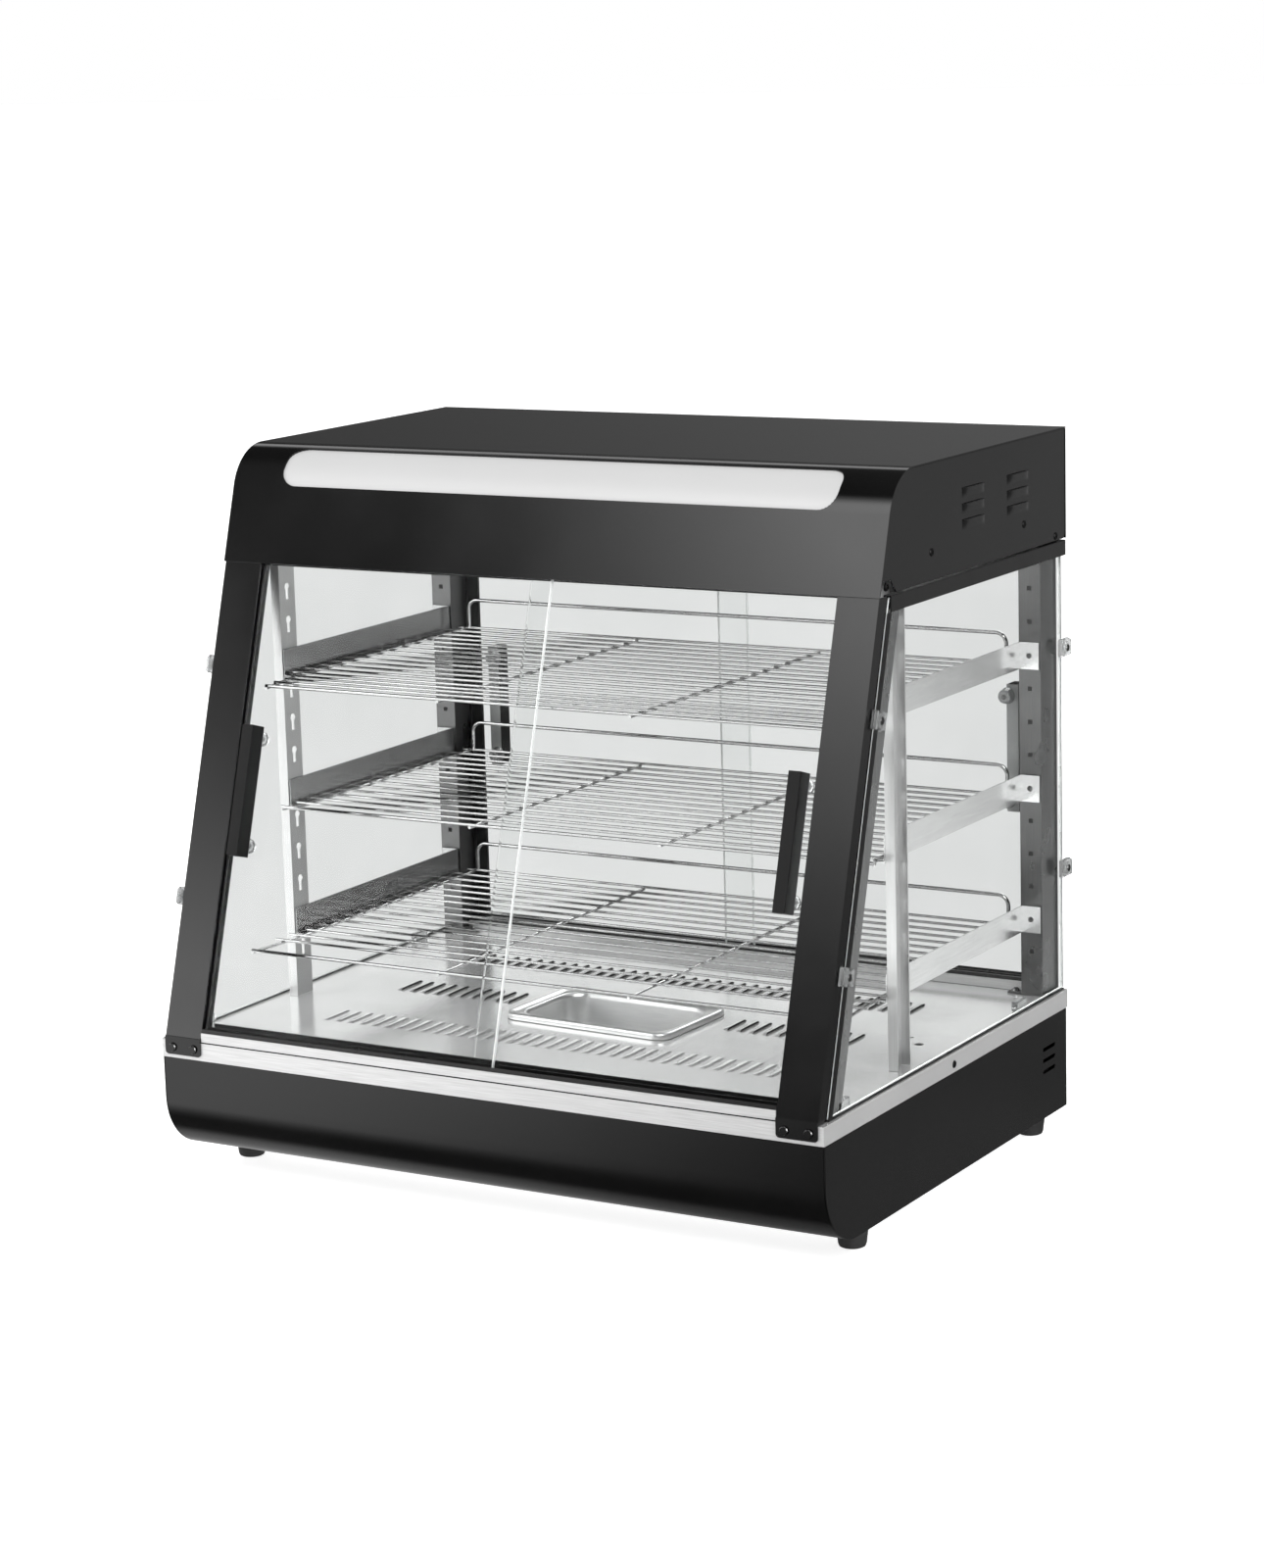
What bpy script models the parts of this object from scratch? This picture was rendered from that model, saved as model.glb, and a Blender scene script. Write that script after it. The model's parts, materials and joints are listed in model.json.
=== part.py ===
"""Countertop hot food display case with three wire racks and sliding glass doors.

Run with: blender --background --python part.py
Metres, +Z up, +X to the viewer's right, the slanted customer side faces -Y. The feet stand on z = 0.
A dimension named *_MID is on the middle of a sheet's thickness.
"""

from math import asin, cos, pi, radians, sin, tan

import bmesh
import bpy
from mathutils import Matrix, Vector

# ---- driving dimensions ---------------------------------------------------------------------------
GAP = 0.0003                    # left between two pieces that touch
SHEET = 0.0012                  # steel sheet thickness
GLASS = 0.004                   # glass thickness

FOOT_H = 0.022
FOOT_R_TOP = 0.0145
FOOT_R_BOTTOM = 0.0115
FOOT_X = 0.306
FOOT_Y = (-0.148, 0.209)

HALF_W = 0.330                  # outside of the base and of the steel rim
BASE_FRONT = -0.2400
BASE_REAR = 0.2375
BASE_TOP = 0.1132
NOSE_R = 0.055                  # round lower front edge of the base
RIM_Y = 0.2415
RIM_LOW = 0.1135
FLOOR_Z = 0.1300                # top of the heated steel floor

SLOT_L = 0.038
SLOT_W = 0.003
SLOT_PITCH = 0.0129
SLOTS_FULL_ROW = 37
SLOTS_SIDE_ROW = 10
FRONT_ROW_Y = -0.111
MIDDLE_ROW_Y = 0.0055
REAR_ROW_Y = 0.1195
SIDE_ROW_X = 0.1715             # middle of the short rows beside the pan

PAN_X, PAN_Y = 0.0020, -0.0105
PAN_L, PAN_W = 0.172, 0.108     # over the rim
PAN_RIM = 0.0125
PAN_DEPTH = 0.052
PAN_TURN = radians(-3.0)        # the pan lies loose, turned a little in its opening
PAN_HOLE_L, PAN_HOLE_W = 0.156, 0.094

SLANT = radians(16.92)          # the customer side leans back by this angle
FRONT_Y, FRONT_Z = -0.1195, 0.5400   # lower front edge of the hood, on the slanted plane
HOOD_HALF_W = 0.326
HOOD_TOP = 0.640
HOOD_R = 0.048
HOOD_REAR = 0.2515
HOOD_LOW = 0.5410
SIGN_HALF_L = 0.276
SIGN_ANGLES = (radians(18.0), radians(69.0))
SIGN_CORNER = 0.016

POST_X = (0.2868, 0.3250)       # front post, inner and outer side
POST_FACE = 0.0015              # the posts run up behind the hood's front
POST_DEPTH = 0.015
POST_FOOT_LOW, POST_FOOT_TOP = 0.1170, 0.1335
DOOR_HALF_W = 0.2860
DOOR_OVERLAP = 0.013
DOOR_FACES = (0.0050, 0.0145)   # front face of the outer and the inner door, behind the slanted plane
DOOR_TRAVEL = 0.240
HANDLE_SPAN = (0.1445, 0.2610)  # handle ends, measured down the slope
HANDLE_X = 0.2690
HANDLE_W = 0.0115
HANDLE_D = 0.0170
TRACK_TOP = 0.1425
SILL_TOP = 0.1390

UPRIGHT_X = (0.3017, 0.3110)
UPRIGHT_Y = (-0.0710, -0.0470)
UPRIGHT_TOP = 0.5475
REAR_POST_X = (0.2985, 0.3195)
REAR_POST_Y = (0.2055, 0.2400)
HOLE_PITCH = 0.030
RAIL_X = (0.2885, 0.3005)       # inner edge of the flange and middle of the web
RAIL_Y = (-0.0700, 0.2040)
RAIL_H = 0.0245
RAIL_LOW = (0.1890, 0.3090, 0.4290)
RACK_NAMES = ("bottom", "middle", "top")
RACK_FRONT = (-0.1465, -0.0865, -0.1310)
RACK_REAR = 0.2130
RACK_HALF_W = 0.2965
RACK_WIRE_PITCH = 0.0209
CROSS_WIRE_X = (-0.2810, -0.0965, 0.0965, 0.2810)
WIRE = 0.0026
GUARD_H = 0.027
GUARD_CORNER = 0.012

SIDE_GLASS_X = 0.3215           # inner face of the side glass
CHANNEL_Z = (0.5262, 0.5398)
REAR_DOOR_Y = (0.2205, 0.2300)  # inner face of the inner and the outer rear door
REAR_DOOR_HALF_W = 0.2975
REAR_DOOR_Z = (0.1345, 0.5480)
REAR_HANDLE_Z = (0.2940, 0.4105)
REAR_HANDLE_X = (0.2700, 0.2835)   # left and right, out from the middle

KNOB_X, CONTROL_Z = 0.2250, 0.0680
KNOB_R, KNOB_D = 0.0190, 0.0170
SWITCH_X = (0.1330, 0.1630)
ROCKER_TILT = radians(10.0)
GLAND_X = -0.2300

FRONT_MOST = -RIM_Y - GAP - SHEET - 0.0025   # heads of the post foot screws
REAR_MOST = BASE_REAR + GAP + KNOB_D
SHIFT_Y = -(FRONT_MOST + REAR_MOST) / 2

X, Y, Z = range(3)
SIDES = (("left", -1), ("right", 1))
# a flat outline drawn in local XY is turned so that its plane faces along this axis
FACING = {X: (pi / 2, 0, pi / 2), Y: (pi / 2, 0, 0), Z: (0, 0, 0)}


# ---- scene, collections and materials -------------------------------------------------------------
def new_collection(name):
    collection = bpy.data.collections.new(name)
    bpy.context.scene.collection.children.link(collection)
    return collection


def new_material(name, colour, roughness, metallic=0.0, transmission=0.0, glow=0.0):
    material = bpy.data.materials.new(name)
    material.use_nodes = True
    shader = material.node_tree.nodes["Principled BSDF"].inputs
    shader["Base Color"].default_value = (*colour, 1.0)
    shader["Roughness"].default_value = roughness
    shader["Metallic"].default_value = metallic
    shader["Transmission Weight"].default_value = transmission
    if glow:
        shader["Emission Color"].default_value = (*colour, 1.0)
        shader["Emission Strength"].default_value = glow
    return material


for old in list(bpy.data.objects):
    bpy.data.objects.remove(old, do_unlink=True)

PARTS = new_collection("hot_food_display_case")
CUTTERS = new_collection("cutters")

BLACK_STEEL = new_material("black_painted_steel", (0.020, 0.020, 0.021), 0.28)
DARK_STEEL = new_material("grey_painted_steel", (0.115, 0.115, 0.118), 0.38)
STEEL = new_material("brushed_stainless", (0.62, 0.62, 0.61), 0.30, 1.0)
CHROME = new_material("chromed_wire", (0.78, 0.78, 0.78), 0.12, 1.0)
CLEAR = new_material("clear_glass", (0.96, 0.98, 0.97), 0.02, 0.0, 1.0)
BLACK_PLASTIC = new_material("black_plastic", (0.016, 0.016, 0.017), 0.42)
RUBBER = new_material("black_rubber", (0.020, 0.020, 0.020), 0.75)
DIFFUSER = new_material("white_diffuser", (0.80, 0.80, 0.80), 0.35, 0.0, 0.0, 0.4)
LAMP = new_material("lamp_glass", (0.92, 0.92, 0.90), 0.25, 0.0, 0.0, 1.0)
WHITE_PLASTIC = new_material("white_plastic", (0.70, 0.70, 0.69), 0.45)


# ---- modelling helpers ----------------------------------------------------------------------------
def place(item, parent, location=(0, 0, 0), rotation=(0, 0, 0)):
    item.parent = parent
    item.location = location
    item.rotation_euler = rotation


def empty(name, parent=None, location=(0, 0, 0), rotation=(0, 0, 0)):
    item = bpy.data.objects.new(name, None)
    PARTS.objects.link(item)
    place(item, parent, location, rotation)
    bpy.context.view_layer.update()
    return item


def link(name, data, material, parent, cutter=False):
    item = bpy.data.objects.new(name, data)
    if cutter:
        CUTTERS.objects.link(item)
        item.hide_render = True
        item.display_type = "WIRE"
    else:
        PARTS.objects.link(item)
        data.materials.append(material)
    place(item, parent)
    return item


def from_bmesh(name, bm, material, parent, cutter=False):
    mesh = bpy.data.meshes.new(name)
    bm.to_mesh(mesh)
    bm.free()
    return link(name, mesh, material, parent, cutter)


def boxes(name, spans, material=None, parent=None, cutter=False):
    """One object of boxes, each given by its low and its high corner."""
    bm = bmesh.new()
    for low, high in spans:
        size = Vector(high) - Vector(low)
        middle = (Vector(high) + Vector(low)) / 2
        matrix = Matrix.Translation(middle) @ Matrix.Diagonal((*size, 1.0))
        bmesh.ops.create_cube(bm, size=1.0, matrix=matrix)
    return from_bmesh(name, bm, material, parent, cutter)


def box(name, low, high, material=None, parent=None, cutter=False):
    return boxes(name, [(low, high)], material, parent, cutter)


def mesh_of_curve(curve_object, material, cutter=False):
    """Swaps a curve object for its welded mesh, which a Boolean can take."""
    bpy.context.view_layer.update()
    evaluated = curve_object.evaluated_get(bpy.context.evaluated_depsgraph_get())
    mesh = bpy.data.meshes.new_from_object(evaluated)
    bm = bmesh.new()
    bm.from_mesh(mesh)
    bmesh.ops.remove_doubles(bm, verts=bm.verts, dist=1e-6)
    bm.to_mesh(mesh)
    bm.free()
    name, parent = curve_object.name, curve_object.parent
    here, turn = curve_object.location.copy(), curve_object.rotation_euler.copy()
    bpy.data.objects.remove(curve_object)
    mesh.materials.clear()
    item = link(name, mesh, material, parent, cutter)
    place(item, parent, here, turn)
    return item


def flat(name, outline, thickness, axis, at, material=None, parent=None, cutter=False):
    """A flat piece: its outline, filled, and given a thickness along an axis about the height at."""
    curve = bpy.data.curves.new(name, "CURVE")
    curve.dimensions = "2D"
    curve.fill_mode = "BOTH"
    curve.extrude = thickness / 2
    spline = curve.splines.new("POLY")
    spline.points.add(len(outline) - 1)
    for point, (a, b) in zip(spline.points, outline):
        point.co = (a, b, 0, 1)
    spline.use_cyclic_u = True
    item = bpy.data.objects.new(name, curve)
    PARTS.objects.link(item)
    location = [0, 0, 0]
    location[axis] = at
    place(item, parent, location, FACING[axis])
    return mesh_of_curve(item, material, cutter)


def rod(name, points, radius, material=None, parent=None, cutter=False, sides=6, closed=False):
    """A wire or tube along a line of points."""
    curve = bpy.data.curves.new(name, "CURVE")
    curve.dimensions = "3D"
    curve.bevel_depth = radius
    curve.bevel_resolution = (sides - 4) // 2
    curve.use_fill_caps = not closed
    spline = curve.splines.new("POLY")
    spline.points.add(len(points) - 1)
    for point, here in zip(spline.points, points):
        point.co = (*here, 1)
    spline.use_cyclic_u = closed
    item = bpy.data.objects.new(name, curve)
    PARTS.objects.link(item)
    place(item, parent)
    return mesh_of_curve(item, material, cutter)


def rounded(points, radius, steps=3, closed=False):
    """The points of a path or outline with each corner replaced by an arc."""
    points = [Vector(p) for p in points]
    count = len(points)
    found = []
    for i, corner in enumerate(points):
        if not closed and i in (0, count - 1):
            found.append(corner)
            continue
        before = (points[i - 1] - corner).normalized()
        after = (points[(i + 1) % count] - corner).normalized()
        half = before.angle(after) / 2
        reach = radius / tan(half)
        centre = corner + (before + after).normalized() * radius / sin(half)
        first, last = corner + before * reach - centre, corner + after * reach - centre
        for k in range(steps + 1):
            arm = first.lerp(last, k / steps).normalized() * radius
            found.append(centre + arm)
    return found


def axis_point(axis, along, a, b):
    """A point from its place along an axis and its places on the two other axes, in order."""
    rest = [a, b]
    return Vector([along if i == axis else rest.pop(0) for i in range(3)])


def fold(name, profile, span, axis, material, parent=None, thickness=SHEET):
    """Folded sheet: the middle line of its section, drawn out along an axis and thickened."""
    bm = bmesh.new()
    verts = [bm.verts.new(axis_point(axis, span[0], *p)) for p in profile]
    edges = [bm.edges.new(pair) for pair in zip(verts, verts[1:])]
    drawn = bmesh.ops.extrude_edge_only(bm, edges=edges)["geom"]
    moved = [v for v in drawn if isinstance(v, bmesh.types.BMVert)]
    bmesh.ops.translate(bm, verts=moved, vec=axis_point(axis, span[1] - span[0], 0, 0))
    item = from_bmesh(name, bm, material, parent)
    thicken(item, thickness)
    return item


def thicken(item, thickness):
    solidify = item.modifiers.new("thickness", "SOLIDIFY")
    solidify.thickness = thickness
    solidify.offset = 0.0
    solidify.use_even_offset = True


def combine(item, other, operation):
    boolean = item.modifiers.new(operation.lower(), "BOOLEAN")
    boolean.operation = operation
    boolean.object = other


def cut(item, cutter):
    combine(item, cutter, "DIFFERENCE")


def join(item, other):
    combine(item, other, "UNION")


def turned(name, profile, material, parent, location, rotation=(0, 0, 0), steps=16):
    """A turned piece: the (radius, height) of its outer side, from top to bottom."""
    bm = bmesh.new()
    verts = [bm.verts.new((r, 0, h)) for r, h in profile]
    for pair in zip(verts, verts[1:]):
        bm.edges.new(pair)
    item = from_bmesh(name, bm, material, parent)
    screw = item.modifiers.new("turn", "SCREW")
    screw.steps = screw.render_steps = steps
    screw.use_merge_vertices = True
    screw.merge_threshold = 0.00005
    place(item, parent, location, rotation)
    return item


def disc_cutter(name, centre, radius, depth, axis, parent, sides=10):
    bm = bmesh.new()
    turn = Matrix.Rotation(pi / 2, 4, "XYZ"[Y if axis == X else X]) if axis != Z else Matrix()
    matrix = Matrix.Translation(centre) @ turn
    bmesh.ops.create_cone(
        bm, cap_ends=True, segments=sides, radius1=radius, radius2=radius, depth=depth, matrix=matrix
    )
    return from_bmesh(name, bm, None, parent, cutter=True)


def arc(centre, radius, start, end, steps):
    """Points (a, b) on an arc; the angle is measured from -a towards +b."""
    turns = [start + (end - start) * k / steps for k in range(steps + 1)]
    return [(centre[0] - radius * cos(t), centre[1] + radius * sin(t)) for t in turns]


CASE = empty("case_frame", location=(0, SHIFT_Y, 0))
# on this empty: x as in the case, y into the case from the slanted plane, z up the slope
SLOPE = empty("slanted_front", CASE, (0, FRONT_Y, FRONT_Z), (-SLANT, 0, 0))


def slope_y(z):
    """Where the slanted front plane is at a height."""
    return FRONT_Y + (z - FRONT_Z) * tan(SLANT)


# ---- base -----------------------------------------------------------------------------------------
def make_feet():
    for end, y in zip(("front", "rear"), FOOT_Y):
        for side, sign in SIDES:
            bm = bmesh.new()
            height = FOOT_H - GAP
            bmesh.ops.create_cone(
                bm, cap_ends=True, segments=20, radius1=FOOT_R_BOTTOM, radius2=FOOT_R_TOP, depth=height
            )
            foot = from_bmesh(f"foot_{end}_{side}", bm, RUBBER, CASE)
            foot.location = (sign * FOOT_X, y, height / 2)


def nose(inset, steps=6):
    """Section of the base's rounded lower front edge, from its top edge to its underside."""
    centre = (BASE_FRONT + NOSE_R, FOOT_H + NOSE_R)
    return [(BASE_FRONT + inset, BASE_TOP)] + arc(centre, NOSE_R - inset, 0, -pi / 2, steps)


def make_base():
    half = SHEET / 2
    inner = HALF_W - SHEET - GAP
    seam_y = -0.1500
    fold(
        "base_front_panel", nose(half) + [(seam_y, FOOT_H + half)], (-inner, inner), X, BLACK_STEEL, CASE
    )
    bottom = box(
        "base_bottom_plate",
        (-inner, seam_y + GAP, FOOT_H),
        (inner, BASE_REAR - SHEET - GAP, FOOT_H + SHEET),
        STEEL,
        CASE,
    )
    vents = [
        ((x - 0.0015, -0.03, FOOT_H - 0.01), (x + 0.0015, 0.03, FOOT_H + 0.01))
        for x in [sign * (0.10 + 0.02 * k) for sign in (-1, 1) for k in range(4)]
    ]
    cut(bottom, boxes("bottom_vents_cutter", vents, parent=CASE, cutter=True))
    vent_y, vent_z = (0.1860, 0.2120), (0.0655, 0.0757, 0.0860)
    for side, sign in SIDES:
        outline = nose(0) + [(BASE_REAR, FOOT_H), (BASE_REAR, BASE_TOP)]
        at = sign * (HALF_W - half)
        panel = flat(f"base_side_panel_{side}", outline, SHEET, X, at, BLACK_STEEL, CASE)
        slots = [
            ((at - 0.01, vent_y[0], z - 0.0014), (at + 0.01, vent_y[1], z + 0.0014)) for z in vent_z
        ]
        cut(panel, boxes(f"side_vents_{side}_cutter", slots, parent=CASE, cutter=True))
    rear = box(
        "base_rear_panel",
        (-inner, BASE_REAR - SHEET, FOOT_H + GAP),
        (inner, BASE_REAR, BASE_TOP),
        BLACK_STEEL,
        CASE,
    )
    low, high = switch_opening()
    holes = [
        disc_cutter("knob_hole_cutter", (KNOB_X, BASE_REAR, CONTROL_Z), 0.0045, 0.02, Y, CASE),
        disc_cutter("gland_hole_cutter", (GLAND_X, BASE_REAR, CONTROL_Z), 0.0085, 0.02, Y, CASE, 16),
        box("switch_hole_cutter", low, high, parent=CASE, cutter=True),
    ]
    for hole in holes:
        cut(rear, hole)


def slot_row(middle_x, y, count):
    """Spans of a row of air slots in the floor."""
    first = middle_x - (count - 1) * SLOT_PITCH / 2
    return [
        (
            (first + k * SLOT_PITCH - SLOT_W / 2, y - SLOT_L / 2, FLOOR_Z - 0.01),
            (first + k * SLOT_PITCH + SLOT_W / 2, y + SLOT_L / 2, FLOOR_Z + 0.01),
        )
        for k in range(count)
    ]


def rounded_rectangle(length, width, radius, steps=4):
    a, b = length / 2, width / 2
    return rounded([(-a, -b, 0), (a, -b, 0), (a, b, 0), (-a, b, 0)], radius, steps, closed=True)


def make_floor():
    half = SHEET / 2
    bm = bmesh.new()
    x, y = HALF_W - half, RIM_Y - half
    top = [bm.verts.new((a, b, FLOOR_Z - half)) for a, b in ((-x, -y), (x, -y), (x, y), (-x, y))]
    bm.faces.new(top)
    drawn = bmesh.ops.extrude_edge_only(bm, edges=list(bm.edges))["geom"]
    lowered = [v for v in drawn if isinstance(v, bmesh.types.BMVert)]
    bmesh.ops.translate(bm, verts=lowered, vec=(0, 0, RIM_LOW - FLOOR_Z + half))
    bmesh.ops.recalc_face_normals(bm, faces=bm.faces)
    tray = from_bmesh("floor_tray", bm, STEEL, CASE)
    thicken(tray, SHEET)
    outline = [(p.x, p.y) for p in rounded_rectangle(PAN_HOLE_L, PAN_HOLE_W, 0.020)]
    opening = flat("pan_opening_cutter", outline, 0.02, Z, FLOOR_Z, None, CASE, cutter=True)
    opening.location = (PAN_X, PAN_Y, FLOOR_Z)
    cut(tray, opening)
    slots = slot_row(0, FRONT_ROW_Y, SLOTS_FULL_ROW) + slot_row(0, REAR_ROW_Y, SLOTS_FULL_ROW)
    for sign in (-1, 1):
        slots += slot_row(sign * SIDE_ROW_X, MIDDLE_ROW_Y, SLOTS_SIDE_ROW)
    cut(tray, boxes("floor_slots_cutter", slots, parent=CASE, cutter=True))


def make_pan():
    """A pressed pan: a rolled rim, a flat flange and a tapered basin, each a ring of one outline."""
    lift = empty("water_pan_lift", CASE, (PAN_X, PAN_Y, FLOOR_Z), (0, 0, PAN_TURN))
    skin = 0.0008
    top = 0.0056
    flange_l, flange_w = PAN_L - 2 * PAN_RIM, PAN_W - 2 * PAN_RIM
    rings = [  # length, width, corner radius, height over the floor
        (PAN_L - skin, PAN_W - skin, 0.0130, GAP + skin / 2),
        (PAN_L - skin, PAN_W - skin, 0.0130, top - 0.0014),
        (PAN_L - 0.004, PAN_W - 0.004, 0.0115, top),
        (flange_l, flange_w, 0.0200, top),
        (flange_l - 0.004, flange_w - 0.004, 0.0180, top - 0.003),
        (flange_l - 0.014, flange_w - 0.014, 0.0140, top - PAN_DEPTH + 0.006),
        (flange_l - 0.026, flange_w - 0.026, 0.0110, top - PAN_DEPTH),
    ]
    bm = bmesh.new()
    loops = []
    for length, width, radius, height in rings:
        verts = [bm.verts.new((p.x, p.y, height)) for p in rounded_rectangle(length, width, radius)]
        loops.append([bm.edges.new((verts[i - 1], verts[i])) for i in range(len(verts))])
    for outer, inner in zip(loops, loops[1:]):
        bmesh.ops.bridge_loops(bm, edges=outer + inner)
    bmesh.ops.edgenet_fill(bm, edges=loops[-1])
    bmesh.ops.recalc_face_normals(bm, faces=bm.faces)
    thicken(from_bmesh("water_pan", bm, STEEL, lift), skin)


def make_heating():
    z = 0.046
    rear = BASE_REAR - SHEET - GAP
    corners = [
        (0.030, rear, z), (0.030, 0.165, z), (0.225, 0.165, z), (0.225, -0.125, z),
        (-0.225, -0.125, z), (-0.225, 0.165, z), (-0.030, 0.165, z), (-0.030, rear, z),
    ]
    rod("heating_element", rounded(corners, 0.030), 0.004, STEEL, CASE)


# ---- controls on the rear of the base -------------------------------------------------------------
def switch_opening():
    """Low and high corner of the cut-out that the switch housing fits."""
    low = (SWITCH_X[0] - 0.0135, BASE_REAR - 0.02, CONTROL_Z - 0.0135)
    high = (SWITCH_X[1] + 0.0135, BASE_REAR + 0.02, CONTROL_Z + 0.0135)
    return low, high


def make_controls():
    pivot_y = BASE_REAR + 0.0020
    low, high = switch_opening()
    body = box(
        "switch_housing",
        (low[0] + GAP, BASE_REAR - 0.018, low[2] + GAP),
        (high[0] - GAP, BASE_REAR + 0.0010, high[2] - GAP),
        BLACK_PLASTIC,
        CASE,
    )
    bezel = box(
        "switch_bezel_joined",
        (low[0] - 0.003, BASE_REAR + GAP, low[2] - 0.003),
        (high[0] + 0.003, BASE_REAR + 0.0022, high[2] + 0.003),
        parent=CASE,
        cutter=True,
    )
    join(body, bezel)
    pockets = [
        ((x - 0.0072, BASE_REAR - 0.0070, CONTROL_Z - 0.0104), (x + 0.0072, BASE_REAR + 0.01, CONTROL_Z + 0.0104))
        for x in SWITCH_X
    ]
    cut(body, boxes("rocker_pockets_cutter", pockets, parent=CASE, cutter=True))
    rocker = [(-0.0040, -0.0060), (0.0036, -0.0090), (0.0014, 0.0), (0.0036, 0.0090), (-0.0040, 0.0060)]
    for name, x in zip(("power_rocker", "light_rocker"), SWITCH_X):
        pivot = empty(f"{name}_pivot", CASE, (x, pivot_y, CONTROL_Z), (-ROCKER_TILT, 0, 0))
        flat(name, rocker, 0.0132, X, 0, BLACK_PLASTIC, pivot)

    shaft_end = -0.0120
    profile = [
        (0, KNOB_D), (KNOB_R - 0.0030, KNOB_D), (KNOB_R - 0.0018, KNOB_D - 0.0015), (KNOB_R, 0.0008),
        (KNOB_R - 0.0008, 0), (0.0030, 0), (0.0030, shaft_end), (0, shaft_end),
    ]
    spindle = empty("thermostat_knob_spindle", CASE, (KNOB_X, BASE_REAR + GAP, CONTROL_Z), (-pi / 2, 0, 0))
    turned("thermostat_knob", profile, BLACK_PLASTIC, spindle, (0, 0, 0), steps=24)
    box(
        "thermostat_body",
        (KNOB_X - 0.0190, BASE_REAR - 0.0400, CONTROL_Z - 0.0190),
        (KNOB_X + 0.0190, BASE_REAR + GAP + shaft_end - GAP, CONTROL_Z + 0.0190),
        WHITE_PLASTIC,
        CASE,
    )
    gland = [
        (0.0036, 0.0105), (0.0062, 0.0105), (0.0095, 0.0062), (0.0115, 0.0058), (0.0115, GAP),
        (0.0080, GAP), (0.0080, -0.0120), (0.0036, -0.0120), (0.0036, 0.0105),
    ]
    turned("cord_gland", gland, BLACK_PLASTIC, CASE, (GLAND_X, BASE_REAR, CONTROL_Z), (-pi / 2, 0, 0))


# ---- hood -----------------------------------------------------------------------------------------
HOOD_CENTRE_Z = HOOD_TOP - HOOD_R
HOOD_CENTRE_Y = slope_y(HOOD_CENTRE_Z) + HOOD_R / cos(SLANT)


def hood_section(inset, steps=10):
    """Section of the hood's wrap, from the lower front edge round to the rear of the top."""
    centre = (HOOD_CENTRE_Y, HOOD_CENTRE_Z)
    edge = (FRONT_Y + inset / cos(SLANT), FRONT_Z)
    return [edge] + arc(centre, HOOD_R - inset, SLANT, pi / 2, steps) + [(HOOD_REAR, HOOD_TOP - inset)]


def make_hood():
    half = SHEET / 2
    wrap = fold("hood_shell", hood_section(half), (-HOOD_HALF_W, HOOD_HALF_W), X, BLACK_STEEL, CASE)
    middle = sum(SIGN_ANGLES) / 2
    spread = (SIGN_ANGLES[1] - SIGN_ANGLES[0]) / 2
    window = rounded_rectangle(2 * SIGN_HALF_L, 2 * HOOD_R * sin(spread), SIGN_CORNER, 5)
    # the window is cut square to the middle of the curve
    cutter = flat(
        "sign_window_cutter", [(p.x, p.y) for p in window], 0.04, Z, 0, None, CASE, cutter=True
    )
    reach = HOOD_R * cos(spread) + 0.006
    cutter.location = (0, HOOD_CENTRE_Y - reach * cos(middle), HOOD_CENTRE_Z + reach * sin(middle))
    cutter.rotation_euler = (pi / 2 - middle, 0, 0)
    cut(wrap, cutter)

    inset = SHEET + GAP + 0.001
    lens = arc((HOOD_CENTRE_Y, HOOD_CENTRE_Z), HOOD_R - inset, radians(12), radians(78), 8)
    fold("sign_diffuser", lens, (-SIGN_HALF_L - 0.012, SIGN_HALF_L + 0.012), X, DIFFUSER, CASE, 0.002)

    plate_x = HOOD_HALF_W - 0.0008 - half
    outline = hood_section(SHEET + GAP)
    outline[0] = (FRONT_Y + (SHEET + GAP) / cos(SLANT) + (HOOD_LOW - FRONT_Z) * tan(SLANT), HOOD_LOW)
    outline[-1] = (HOOD_REAR - SHEET - GAP, outline[-1][1])
    outline.append((HOOD_REAR - SHEET - GAP, HOOD_LOW))
    for side, sign in SIDES:
        panel = flat(f"hood_side_{side}", outline, SHEET, X, sign * plate_x, BLACK_STEEL, CASE)
        louvres = [
            ((sign * plate_x - 0.01, y, z - 0.0012), (sign * plate_x + 0.01, y + 0.036, z + 0.0012))
            for y, top in ((0.0420, 0.6085), (0.1320, 0.6115))
            for z in (top, top - 0.0138, top - 0.0276)
        ]
        cut(panel, boxes(f"louvres_{side}_cutter", louvres, parent=CASE, cutter=True))
    box(
        "hood_rear_panel",
        (-HOOD_HALF_W, HOOD_REAR - SHEET, HOOD_LOW),
        (HOOD_HALF_W, HOOD_REAR, HOOD_TOP - SHEET - GAP),
        BLACK_STEEL,
        CASE,
    )
    inner = plate_x - half - GAP
    ceiling = box(
        "hood_ceiling",
        (-inner, -0.0900, 0.5560),
        (inner, HOOD_REAR - SHEET - GAP, 0.5560 + SHEET),
        STEEL,
        CASE,
    )
    light = box(
        "light_opening_cutter", (-0.255, -0.075, 0.54), (0.255, -0.035, 0.57), parent=CASE, cutter=True
    )
    cut(ceiling, light)


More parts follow.
